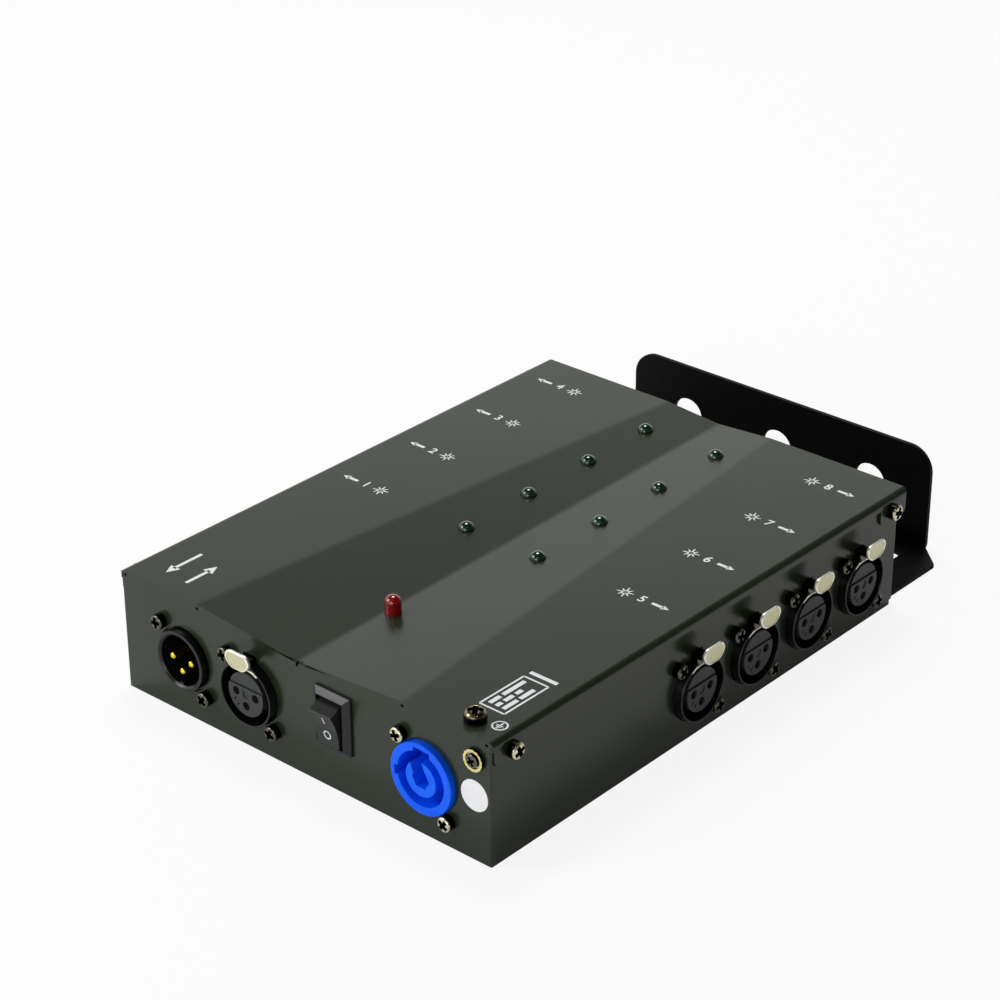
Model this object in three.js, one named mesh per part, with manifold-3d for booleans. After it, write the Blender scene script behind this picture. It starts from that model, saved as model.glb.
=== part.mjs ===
// Signal splitter box: one input, one through output, eight side outputs and a folded hanging bracket.
// Lengths are millimetres. X runs along the front from left to right, Y runs to the back, Z is up.
// Every size is a named value here or is worked out from one.

import * as THREE from "three";
import { mergeVertices } from "three/addons/utils/BufferGeometryUtils.js";
import Module from "manifold-3d";

const wasm = await Module();
wasm.setup();

// Shares and shared allowances
const half = 1 / 2;
const overrun = 2;
const runningGap = 0.3;
const holeGap = 0.6;
const weldDepth = 0.4;
const rightAngle = Math.PI * half;

// Round pieces are faceted by size
const hiddenFacets = 6;
const screwFacets = 8;
const lampFacets = 10;
const ringFacets = 18;
const wideFacets = 26;
const plainCornerSteps = 1;
const sheetCornerSteps = 3;
const bracketCornerSteps = 8;
const bendSteps = 4;

// Box
const boxWidth = 160;
const boxDepth = 211;
const boxHeight = 44;
const wallSheet = 1.2;
const coverSheet = 0.9;
const baseSheet = 1.6;
const wallBend = 1.5;
const sideX = boxWidth * half;
const innerX = sideX - wallSheet;
const wallTop = boxHeight - coverSheet;

// Cover: two flats with a trough between them whose folds run together towards the back
const coverOverhang = 4;
const coverDepth = boxDepth + coverOverhang;
const foldFront = 44.5;
const foldBack = 23.2;
const troughDrop = 3.3;
const foldClosing = (foldFront - foldBack) / coverDepth;
const troughEnd = foldFront / foldClosing;
const coverCorner = 1.0;
const coverLip = 2.7;

// Cover ears, folded down outside the side walls
const earDrop = 9.2;
const earLength = 15;
const earInset = 0.9;
const earCorner = 2.2;
const earScrewBack = 8.6;
const earScrewDown = 5.4;
const rearEarInset = 0.6;
const rearEarScrewIn = 5;

// Wall flanges
const topFlange = 8;
const bottomFlange = 10;
const foldRelief = 1.1;
const reliefDepth = 1.0;
const flangeSlack = 0.05;
const endReliefX = innerX - foldRelief * half;

// Hanging bracket, one sheet with the base plate
const baseInset = 2.6;
const baseHalfX = sideX - baseInset;
const basePlateFront = 2.0;
const bracketBehind = 42;
const bracketClip = 10.2;
const bracketLower = 4.8;
const bracketBack = boxDepth + bracketBehind;
const bracketHalfX = baseHalfX - bracketClip;
const bracketHeight = boxHeight - bracketLower;
const bracketCorner = 9.5;
const bracketBend = 0.9;
const cornerCut = 9.4;
const hangHoleRadius = 6.5;
const hangHolePitch = 41.6;
const hangHoleZ = 19.5;
const windowSide = 3;
const windowFromBack = 11.7;
const windowHalfX = bracketHalfX - windowSide;
const windowBack = bracketBack - windowFromBack;
const windowDeep = 20;
const windowCorner = 3;

// Screws
const cableScrew = { head: 2.65, tall: 2.9, shaft: 1.3, slot: 0.7, arm: 2.6, sunk: 1.3 };
const earScrew = { head: 2.9, tall: 3.3, shaft: 1.45, slot: 0.8, arm: 2.8, sunk: 1.4 };
const coverScrew = { head: 3.65, tall: 3.8, shaft: 1.7, slot: 1.0, arm: 3.5, sunk: 1.6 };
const earthScrew = { head: 3.0, tall: 1.2, shaft: 1.45, slot: 0.8, arm: 2.8, sunk: 0.7 };
const earScrewReach = 6;
const coverScrewReach = 7;
const washerRadius = 3.8;
const washerThick = 1.3;
const crownShare = 0.82;
const brimShare = 0.82;
const baseScrewSide = 6.4;
const baseScrewFront = 22;
const baseScrewRear = 15;
const baseScrewX = sideX - baseScrewSide;
const baseScrewYs = [baseScrewFront, boxDepth * half, boxDepth - baseScrewRear];
const baseScrewHead = 3.0;
const baseScrewRing = 0.35;

// Places on the front wall
const plugIn = 28;
const linkFromPlug = 30.9;
const inletIn = 26.7;
const switchShift = -0.35;
const plugX = plugIn - sideX;
const linkX = plugX + linkFromPlug;
const inletX = sideX - inletIn;
const switchX = (linkX + inletX) * half + switchShift;
const socketLower = 0.9;
const inletShare = 0.466;
const switchDown = 18.2;
const socketZ = boxHeight * half - socketLower;
const inletZ = baseSheet + wallSheet + (wallTop - baseSheet - wallSheet - wallSheet) * inletShare;
const switchZ = boxHeight - switchDown;
const earthIn = 6.3;
const earthDown = 8;
const earthX = sideX - earthIn;
const earthZ = boxHeight - earthDown;
const labelIn = 6.6;
const labelDown = 20.9;
const labelRadius = 5.4;
const labelThick = 0.15;
const labelX = sideX - labelIn;
const labelZ = boxHeight - labelDown;
const coverScrewIn = 12.3;
const coverScrewX = sideX - coverScrewIn;
const coverScrewY = 7;

// Three-pole sockets, seen from outside with the panel face at height zero
const flangeWide = 26.4;
const flangeTall = 27;
const flangeThick = 1.6;
const flangeCorner = 2.5;
const screwAcross = 10;
const screwUp = 10.7;
const rimRadius = 11.4;
const rimBore = 10.6;
const rimProud = 3.1;
const shellDeep = 13;
const shellBack = 1.8;
const faceRadius = 7.7;
const faceProud = 2.6;
const faceStep = 0.3;
const stepUp = 3.0;
const stepLine = 0.65;
const poleSpread = 4.25;
const poleBore = 1.5;
const poleDeep = 9;
const centreDot = 1.45;

// Places on the side walls
const sideSocketLift = 1.4;
const sideSocketZ = baseSheet + wallSheet + flangeTall * half + sideSocketLift;
const socketPitch = 30;
const socketCount = 4;
const lastSocketIn = 22.2;
const lastSocketY = boxDepth - lastSocketIn;
const firstSocketY = lastSocketY - socketPitch * (socketCount - 1);

// Release latch of a socket: a bevelled tab in front and a curved catch inside the rim
const tabShift = 0.75;
const tabUp = 14.2;
const tabProud = 6.6;
const tabThick = 1.1;
const tabOutline = [
  [2.4, -3.05],
  [4.8, -0.9],
  [5.4, 0.4],
  [4.0, 3.05],
];
const stemHalfWide = 2.4;
const stemLow = 12.1;
const stemHigh = 13.3;
const stemDeep = 6;
const catchInner = 8.9;
const catchOuter = rimBore - runningGap;
const catchProud = 2.2;
const catchThick = 1.2;
const catchTurn = (32 * Math.PI) / 180;
const catchSteps = 4;
const latchSlotHalf = stemHalfWide + runningGap;
const latchSlotLow = 8.2;
const latchSlotDeep = 5;
const notchHalfWide = 2.9;
const notchHigh = 13.8;

// Three-pin plug of the input
const plugRadius = 10.75;
const plugHoleRadius = 11.6;
const plugProud = 2.5;
const plugEase = 0.3;
const plugChamfer = 0.7;
const plugBore = 8.9;
const plugBody = 10.6;
const plugDeep = 14.5;
const plugBack = 1.5;
const plugFloor = 2;
const pinRadius = 1.2;
const pinProud = 1.7;
const pinEase = 0.6;
const keyHalfWide = 0.8;
const keyHigh = 1.0;

// Twist-lock mains inlet
const inletRadius = 12.4;
const inletProud = 2.1;
const inletEase = 0.4;
const inletBore = 9.4;
const inletFlangeWide = 30;
const inletFlangeTall = 29.2;
const inletBody = 11.8;
const inletDeep = 20;
const inletBack = 3;
const inletScrewAcross = 9.5;
const inletScrewUp = 12;
const coreRadius = 6.1;
const coreHole = 3.5;
const coreHoleSides = 6;
const coreHoleTurn = (27 * Math.PI) / 180;
const coreSlot = 5;
const coreSlotTurn = (110 * Math.PI) / 180;
const coreFloor = 3;
const keywayDeep = 1.25;
const keywayLong = 12;
const keyways = [
  { turn: (87 * Math.PI) / 180, wide: 6.6 },
  { turn: (182 * Math.PI) / 180, wide: 3.3 },
];

// Mains switch
const bezelWide = 15.2;
const bezelTall = 21;
const bezelEdge = 2;
const bezelProud = 2.55;
const pocketHalfWide = 5.5;
const pocketHalfTall = 8.4;
const pocketDeep = 6.8;
const switchBodyWide = 13.2;
const switchBodyTall = 18.6;
const switchDeep = 14;
const bladeWide = 4.8;
const bladeThick = 0.8;
const bladeLong = 7;
const bladeSpread = 5;
const rockerHalfWide = 4.65;
const rockerPivot = -1.25;
const rockerStub = 0.9;
const rockerStubLong = 1.3;
const rockerTurn = (14 * Math.PI) / 180;
const rockerApex = { along: 6.8, out: 6.35 };
const rockerHollow = 1.0;
const rockerHollowSteps = 6;
const rockerUnder = [
  [7.75, 1.2],
  [7.3, -1.6],
  [5.4, -3.4],
  [2.0, -4.3],
];

// Lamps
const lampRadius = 2.75;
const lampHoleRadius = lampRadius + runningGap;
const lampX = 15.7;
const lampPitch = 32;
const lastLampIn = 18.7;
const lastLampY = boxDepth - lastLampIn;
const firstLampY = lastLampY - lampPitch * (socketCount - 1);
const greenRise = 2.4;
const redRise = 6.4;
const redLampX = 2.7;
const redLampY = 40.8;
const lampBodyBelow = 2.4;
const lampDomeSteps = 3;
const legSize = 0.5;
const legSpread = 1.27;

// Boards inside
const boardDown = 11.5;
const boardSide = 22;
const boardEnd = 7;
const boardTop = wallTop - boardDown;
const boardSheet = 1.6;
const boardHalfX = sideX - boardSide;
const boardFront = 29;
const boardBack = boxDepth - boardEnd;
const postRadius = 2.6;
const postInset = 5;
const postFront = 66;
const postRear = 14;
const postX = boardHalfX - postInset;
const postYs = [postFront, boxDepth - postRear];
const boardScrewTall = 1.4;
const boardScrewRadius = 2.2;
const powerBoardTop = 9.2;
const powerSide = 34;
const powerHalfX = sideX - powerSide;
const powerFront = 34;
const powerBack = 96;
const powerPostX = powerHalfX - postInset;
const powerPostYs = [powerFront + postInset, powerBack - postInset];
const overPower = boardTop - boardSheet - powerBoardTop;
const transformerShare = 0.82;
const transformerX = 18;
const transformerY = 68;
const transformerCore = { wide: 34, deep: 29, tall: overPower * transformerShare };
const transformerCoil = { wide: 22, deep: 33, tall: 11 };
const chip = { wide: 10, deep: 6.5, tall: 2.2 };
const chipX = 34;
const chipCount = 3;
const coupler = { wide: 7, deep: 12, tall: 4.5 };
const header = { wide: 20, deep: 6, tall: 5.5 };
const headerX = boardHalfX - header.wide;
const headerY = boardFront + postInset;
const chipBlocks = [{ ...coupler, x: 0, y: firstLampY + lampPitch * half }];
for (const side of [-1, 1]) {
  chipBlocks.push({ ...header, x: side * headerX, y: headerY });
  for (let i = 0; i < chipCount; i++) {
    chipBlocks.push({ ...chip, x: side * chipX, y: firstLampY + lampPitch * i });
  }
}
const powerInlet = { wide: 14, deep: 8, tall: 9 };
const fuse = { wide: 20, deep: 6, tall: 6 };
const capacitor = { wide: 12, deep: 14, tall: 8 };
const powerInset = 3;
const powerGap = 6;
const powerBlocks = [];
let powerRow = powerFront + powerInset + powerGap;
for (const piece of [powerInlet, fuse, capacitor]) {
  powerBlocks.push({
    ...piece,
    x: piece.wide * half + powerInset + postInset - powerHalfX,
    y: powerRow + piece.deep * half,
  });
  powerRow += piece.deep + powerGap;
}
const canRadius = 5;
const canShare = 0.67;
const canTall = overPower * canShare;
const canX = -11;
const canY = 47;

// Solids

function solidOf(geometry) {
  const bare = geometry.index ? geometry.toNonIndexed() : geometry.clone();
  bare.deleteAttribute("normal");
  bare.deleteAttribute("uv");
  const merged = mergeVertices(bare);
  return new wasm.Manifold(
    new wasm.Mesh({
      numProp: 3,
      vertProperties: new Float32Array(merged.attributes.position.array),
      triVerts: new Uint32Array(merged.index.array),
    }),
  );
}

// Flat neighbours are merged first, so that a face isn't left in slivers
function geometryOf(solid) {
  const mesh = solid.asOriginal().simplify().getMesh();
  const stride = mesh.numProp;
  const positions = new Float32Array(mesh.numVert * 3);
  for (let i = 0; i < mesh.numVert; i++) {
    positions.set(mesh.vertProperties.subarray(i * stride, i * stride + 3), i * 3);
  }
  const geometry = new THREE.BufferGeometry();
  geometry.setAttribute("position", new THREE.BufferAttribute(positions, 3));
  geometry.setIndex(new THREE.BufferAttribute(new Uint32Array(mesh.triVerts), 1));
  geometry.computeVertexNormals();
  return geometry;
}

function join(first, ...others) {
  return others.reduce((sum, next) => sum.add(next), first);
}

function cut(first, ...tools) {
  return tools.reduce((left, tool) => left.subtract(tool), first);
}

function block([x0, x1], [y0, y1], [z0, z1]) {
  const geometry = new THREE.BoxGeometry(x1 - x0, y1 - y0, z1 - z0);
  geometry.translate((x0 + x1) * half, (y0 + y1) * half, (z0 + z1) * half);
  return solidOf(geometry);
}

// A block whose middle is at x and y
function slab(wide, deep, span, x = 0, y = 0) {
  return block([x - wide * half, x + wide * half], [y - deep * half, y + deep * half], span);
}

function round(radius, [z0, z1], facets, x = 0, y = 0, topRadius = radius) {
  const geometry = new THREE.CylinderGeometry(topRadius, radius, z1 - z0, facets);
  geometry.rotateX(rightAngle);
  geometry.translate(x, y, (z0 + z1) * half);
  return solidOf(geometry);
}

// A profile of radius and height pairs, turned round the upright axis
function turned(profile, facets, x = 0, y = 0) {
  const closed = [...profile, profile[0]].map(([r, z]) => new THREE.Vector2(r, z));
  const geometry = new THREE.LatheGeometry(closed, facets);
  geometry.rotateX(rightAngle);
  geometry.translate(x, y, 0);
  return solidOf(geometry);
}

function outline(points) {
  return new THREE.Shape(points.map(([x, y]) => new THREE.Vector2(x, y)));
}

function roundedOutline(halfWide, halfTall, radius) {
  const shape = new THREE.Shape();
  shape.moveTo(-halfWide + radius, -halfTall);
  shape.lineTo(halfWide - radius, -halfTall);
  shape.absarc(halfWide - radius, -halfTall + radius, radius, -rightAngle, 0);
  shape.lineTo(halfWide, halfTall - radius);
  shape.absarc(halfWide - radius, halfTall - radius, radius, 0, rightAngle);
  shape.lineTo(-halfWide + radius, halfTall);
  shape.absarc(-halfWide + radius, halfTall - radius, radius, rightAngle, Math.PI);
  shape.lineTo(-halfWide, -halfTall + radius);
  shape.absarc(-halfWide + radius, -halfTall + radius, radius, Math.PI, Math.PI + rightAngle);
  return shape;
}

function raised(shape, [z0, z1], curveSegments = sheetCornerSteps, x = 0, y = 0) {
  const depth = z1 - z0;
  const geometry = new THREE.ExtrudeGeometry(shape, { depth, bevelEnabled: false, curveSegments });
  geometry.translate(x, y, z0);
  return solidOf(geometry);
}

const axis = {
  x: new THREE.Vector3(1, 0, 0),
  y: new THREE.Vector3(0, 1, 0),
  z: new THREE.Vector3(0, 0, 1),
  back: new THREE.Vector3(0, -1, 0),
  left: new THREE.Vector3(-1, 0, 0),
};

// Frames whose columns are right, up and out for each wall
const frontFrame = new THREE.Matrix4().makeBasis(axis.x, axis.z, axis.back);
const rightFrame = new THREE.Matrix4().makeBasis(axis.y, axis.z, axis.x);
const leftFrame = new THREE.Matrix4().makeBasis(axis.back, axis.z, axis.left);

function placed(frame, x, y, z) {
  return new THREE.Matrix4().makeTranslation(x, y, z).multiply(frame);
}

function moved(solid, matrix) {
  const geometry = geometryOf(solid);
  geometry.applyMatrix4(matrix);
  return solidOf(geometry);
}

// A closed outline in the X and Z directions, raised along Y
function alongY(points, [y0, y1]) {
  return moved(raised(outline(points), [0, y1 - y0]), placed(frontFrame, 0, y1, 0));
}

// A closed outline in the Y and Z directions, raised along X
function alongX(points, [x0, x1]) {
  return moved(raised(outline(points), [0, x1 - x0]), placed(rightFrame, x0, 0, 0));
}

// Trough of the cover
function foldHalf(y) {
  return foldFront - foldClosing * y;
}

function valleyDrop(y) {
  return troughDrop * (1 - y / troughEnd);
}

function dropAt(x, y) {
  return valleyDrop(y) * Math.max(0, 1 - Math.abs(x) / foldHalf(y));
}

// Cross recess screw with a tall flat head that rests on height zero
function screwBody(screw, reach) {
  const crown = screw.head * crownShare;
  const brim = screw.tall * brimShare;
  const head = turned(
    [
      [0, -reach],
      [screw.shaft, -reach],
      [screw.shaft, 0],
      [screw.head, 0],
      [screw.head, brim],
      [crown, screw.tall],
      [0, screw.tall],
    ],
    screwFacets,
  );
  const recess = [screw.tall - screw.sunk, screw.tall + overrun];
  return cut(head, slab(screw.arm, screw.slot, recess), slab(screw.slot, screw.arm, recess));
}

function shifted(solid, x, y, z = 0) {
  return moved(solid, new THREE.Matrix4().makeTranslation(x, y, z));
}

// Materials
function finish(color, metalness, roughness) {
  return new THREE.MeshStandardMaterial({ color, metalness, roughness });
}

const powderBlack = finish(0x34382f, 0.35, 0.5);
const bracketBlack = finish(0x0c0c0d, 0.3, 0.5);
const socketBlack = finish(0x17181a, 0.1, 0.5);
const faceGrey = finish(0x3a3c3b, 0.1, 0.6);
const latchSilver = finish(0xe2dfc2, 0.8, 0.3);
const pinGold = finish(0xe0b030, 0.9, 0.25);
const inletBlue = finish(0x1560ff, 0.0, 0.45);
const coreBlue = finish(0x0a35d8, 0.0, 0.5);
const switchBlack = finish(0x1c1c20, 0.0, 0.4);
const rockerBlack = finish(0x2c2e2c, 0.0, 0.45);
const screwNickel = finish(0x4a4638, 0.85, 0.3);
const washerBrass = finish(0xc9b878, 0.85, 0.3);
const lampGreen = finish(0x0c5a28, 0.0, 0.15);
const lampRed = finish(0xa00008, 0.0, 0.15);
const boardGreen = finish(0x1f5a34, 0.1, 0.6);
const coilTan = finish(0xb08a3a, 0.2, 0.6);
const labelWhite = finish(0xf4f4f6, 0.0, 0.6);

const splitter = new THREE.Group();
splitter.name = "splitter";
const frame = new THREE.Group();
frame.name = "frame";
splitter.add(frame);

function part(name, shape, material, matrix) {
  const mesh = new THREE.Mesh(shape.isBufferGeometry ? shape : geometryOf(shape), material);
  mesh.name = name;
  if (matrix) {
    mesh.applyMatrix4(matrix);
  }
  frame.add(mesh);
  return mesh;
}

// Where the sockets go
const sockets = [{ name: "link", place: placed(frontFrame, linkX, 0, socketZ) }];
for (let i = 0; i < socketCount; i++) {
  const y = firstSocketY + socketPitch * i;
  sockets.push({ name: `right_${i + 1}`, place: placed(rightFrame, sideX, y, sideSocketZ) });
  sockets.push({ name: `left_${i + 1}`, place: placed(leftFrame, -sideX, y, sideSocketZ) });
}
const plugPlace = placed(frontFrame, plugX, 0, socketZ);
const inletPlace = placed(frontFrame, inletX, 0, inletZ);
const switchPlace = placed(frontFrame, switchX, 0, switchZ);

const lamps = [{ name: "lamp_power", x: redLampX, y: redLampY, rise: redRise, material: lampRed }];
for (let i = 0; i < socketCount; i++) {
  const y = firstLampY + lampPitch * i;
  lamps.push({ name: `lamp_right_${i + 1}`, x: lampX, y, rise: greenRise, material: lampGreen });
  lamps.push({ name: `lamp_left_${i + 1}`, x: -lampX, y, rise: greenRise, material: lampGreen });
}

const earScrewZ = boxHeight - earScrewDown;
const rearEarTo = coverDepth - rearEarInset;
const earSpans = [
  { from: earInset, to: earInset + earLength, screwY: earScrewBack },
  { from: rearEarTo - earLength, to: rearEarTo, screwY: boxDepth - rearEarScrewIn },
];

// Wall cut-outs, made in the frame of the wall they go through
const throughWall = [-wallSheet - overrun, overrun];

function socketOpening() {
  return join(
    round(rimRadius + runningGap, throughWall, ringFacets),
    block([-notchHalfWide, notchHalfWide], [0, notchHigh], throughWall),
    ...screwHoles(screwAcross, screwUp, cableScrew),
  );
}

function screwHoles(across, up, screw) {
  return [
    round(screw.shaft + holeGap, throughWall, hiddenFacets, -across, up),
    round(screw.shaft + holeGap, throughWall, hiddenFacets, across, -up),
  ];
}

// Walls: one folded ring with flanges turned in under the cover and over the base plate
function walls() {
  const middleY = boxDepth * half;
  const plan = roundedOutline(sideX, middleY, wallBend);
  const outer = raised(plan, [0, wallTop], sheetCornerSteps, 0, middleY);
  const wholeHeight = [-overrun, wallTop + overrun];
  let ring = cut(outer, block([-innerX, innerX], [wallSheet, boxDepth - wallSheet], wholeHeight));
  const flangeLow = wallTop - wallSheet;
  const bottomLow = baseSheet;
  const bottomHigh = baseSheet + wallSheet;
  const weldX = innerX + weldDepth;
  const weldFront = wallSheet - weldDepth;
  const weldBack = boxDepth - wallSheet + weldDepth;
  const sideFrom = wallSheet + topFlange + foldRelief;
  const sideTo = boxDepth - sideFrom;
  const lowFrom = wallSheet + bottomFlange + foldRelief;
  const lowTo = boxDepth - lowFrom;
  for (const [x0, x1] of [
    [-weldX, -innerX + topFlange],
    [innerX - topFlange, weldX],
  ]) {
    ring = join(ring, block([x0, x1], [sideFrom, sideTo], [flangeLow, wallTop]));
  }
  for (const [x0, x1] of [
    [-weldX, -innerX + bottomFlange],
    [innerX - bottomFlange, weldX],
  ]) {
    ring = join(ring, block([x0, x1], [lowFrom, lowTo], [bottomLow, bottomHigh]));
  }
  const lowX = innerX - foldRelief;
  ring = join(
    ring,
    block([-lowX, lowX], [weldFront, wallSheet + bottomFlange], [bottomLow, bottomHigh]),
    block([-lowX, lowX], [boxDepth - wallSheet - bottomFlange, weldBack], [bottomLow, bottomHigh]),
  );
  // Top edges of the front and back walls and their flanges follow the trough
  const rearTop = boxDepth - wallSheet - topFlange;
  for (const [y0, y1, at, flange] of [
    [-overrun, wallSheet + overrun, 0, [weldFront, wallSheet + topFlange]],
    [boxDepth - wallSheet - overrun, boxDepth + overrun, rearTop, [rearTop, weldBack]],
  ]) {
    const fold = foldHalf(at);
    const low = valleyDrop(at) + flangeSlack;
    ring = cut(
      ring,
      alongY(
        [
          [-fold, wallTop + overrun],
          [-fold, wallTop],
          [0, wallTop - low],
          [fold, wallTop],
          [fold, wallTop + overrun],
        ],
        [y0, y1],
      ),
    );
    const flatTo = innerX - foldRelief;
    const slope = low / fold;
    const nearFold = fold - foldRelief * half;
    const nearValley = foldRelief * half;
    const lift = (x) => wallTop - low + slope * x;
    for (const side of [-1, 1]) {
      const flatFrom = fold + foldRelief * half;
      const flatX = [flatFrom, flatTo].map((x) => side * x).sort((a, b) => a - b);
      const flat = block(flatX, flange, [flangeLow, wallTop]);
      const facet = [
        [side * nearValley, lift(nearValley)],
        [side * nearFold, lift(nearFold)],
        [side * nearFold, lift(nearFold) - wallSheet],
        [side * nearValley, lift(nearValley) - wallSheet],
      ];
      ring = join(ring, flat, alongY(side < 0 ? facet : facet.reverse(), flange));
    }
    // Relief notches at the folds, seen as small dark marks under the cover
    for (const x of [-endReliefX, -fold, 0, fold, endReliefX]) {
      const top = wallTop - (x === 0 ? low : 0);
      const notch = [x - foldRelief * half, x + foldRelief * half];
      ring = cut(ring, block(notch, [y0, y1], [top - reliefDepth, top + overrun]));
    }
  }
  // The base plate passes under the back wall
  ring = cut(
    ring,
    block(
      [-baseHalfX - runningGap, baseHalfX + runningGap],
      [boxDepth - wallSheet - overrun, boxDepth + overrun],
      [-overrun, baseSheet + runningGap],
    ),
  );
  // Front cut-outs
  const earScrewHole = round(earScrew.shaft + holeGap, throughWall, hiddenFacets);
  ring = cut(
    ring,
    moved(
      join(
        round(plugHoleRadius, throughWall, wideFacets),
        ...screwHoles(screwAcross, screwUp, cableScrew),
      ),
      plugPlace,
    ),
    moved(
      join(
        round(inletRadius + runningGap, throughWall, wideFacets),
        ...screwHoles(inletScrewAcross, inletScrewUp, cableScrew),
      ),
      inletPlace,
    ),
    moved(
      slab(switchBodyWide + wallSheet * half, switchBodyTall + wallSheet * half, throughWall),
      switchPlace,
    ),
    moved(earScrewHole, placed(frontFrame, earthX, 0, earthZ)),
  );
  const opening = socketOpening();
  for (const { place } of sockets) {
    ring = cut(ring, moved(opening, place));
  }
  for (const { screwY } of earSpans) {
    const drill = alongXRound(earScrew.shaft + holeGap, screwY, earScrewZ);
    ring = cut(ring, ...drill);
  }
  return cut(ring, coverScrewHole([flangeLow - overrun, wallTop + overrun]));
}

function coverScrewHole(span) {
  return round(coverScrew.shaft + holeGap, span, hiddenFacets, coverScrewX, coverScrewY);
}

// Holes through both side walls
function alongXRound(radius, y, z) {
  const through = [-wallSheet - overrun, coverSheet + overrun];
  return [
    moved(round(radius, through, hiddenFacets), placed(rightFrame, sideX, y, z)),
    moved(round(radius, through, hiddenFacets), placed(leftFrame, -sideX, y, z)),
  ];
}

part("chassis_walls", walls(), powderBlack);

// Cover: a thin skin between a top surface and the same surface one sheet lower
function coverSkin() {
  const edgeX = sideX + coverSheet;
  const xs = (y) => [-edgeX, -foldHalf(y), 0, foldHalf(y), edgeX];
  const corners = [];
  for (const level of [0, -coverSheet]) {
    for (const y of [0, coverDepth]) {
      for (const x of xs(y)) {
        corners.push(x, y, boxHeight + level - dropAt(x, y));
      }
    }
  }
  const columns = xs(0).length;
  const lower = columns * 2;
  const faces = [];
  const quad = (a, b, c, d) => faces.push(a, b, c, a, c, d);
  for (let i = 0; i + 1 < columns; i++) {
    const near = i;
    const far = i + columns;
    quad(near, near + 1, far + 1, far);
    quad(near + lower, far + lower, far + lower + 1, near + lower + 1);
    quad(near + lower, near + lower + 1, near + 1, near);
    quad(far, far + 1, far + lower + 1, far + lower);
  }
  const last = columns - 1;
  quad(lower, 0, columns, columns + lower);
  quad(last, last + lower, last + columns + lower, last + columns);
  const geometry = new THREE.BufferGeometry();
  geometry.setAttribute("position", new THREE.Float32BufferAttribute(corners, 3));
  geometry.setIndex(faces);
  return solidOf(geometry);
}

function cover() {
  const edgeX = sideX + coverSheet;
  let skin = coverSkin();
  const middleY = coverDepth * half;
  const plan = roundedOutline(edgeX, middleY, coverCorner);
  skin = skin.intersect(raised(plan, [0, boxHeight + overrun], sheetCornerSteps, 0, middleY));
  const earLow = boxHeight - earDrop;
  for (const { from, to } of earSpans) {
    const ear = [
      [from, boxHeight - coverSheet * half],
      [from, earLow + earCorner],
      [from + earCorner, earLow],
      [to - earCorner, earLow],
      [to, earLow + earCorner],
      [to, boxHeight - coverSheet * half],
    ];
    skin = join(skin, alongX(ear, [sideX, edgeX]), alongX(ear, [-edgeX, -sideX]));
  }
  // A narrow lip is folded down along each side from ear to ear
  const lipLength = [earInset, rearEarTo];
  const lipSpan = [boxHeight - coverLip, boxHeight - coverSheet * half];
  for (const lipX of [
    [sideX, edgeX],
    [-edgeX, -sideX],
  ]) {
    skin = join(skin, block(lipX, lipLength, lipSpan));
  }
  for (const { screwY } of earSpans) {
    skin = cut(skin, ...alongXRound(earScrew.shaft + holeGap, screwY, earScrewZ));
  }
  for (const { x, y } of lamps) {
    const span = [wallTop - troughDrop - overrun, boxHeight + overrun];
    skin = cut(skin, round(lampHoleRadius, span, lampFacets, x, y));
  }
  return cut(skin, coverScrewHole([wallTop - overrun, boxHeight + overrun]));
}

part("top_cover", cover(), powderBlack);

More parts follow.
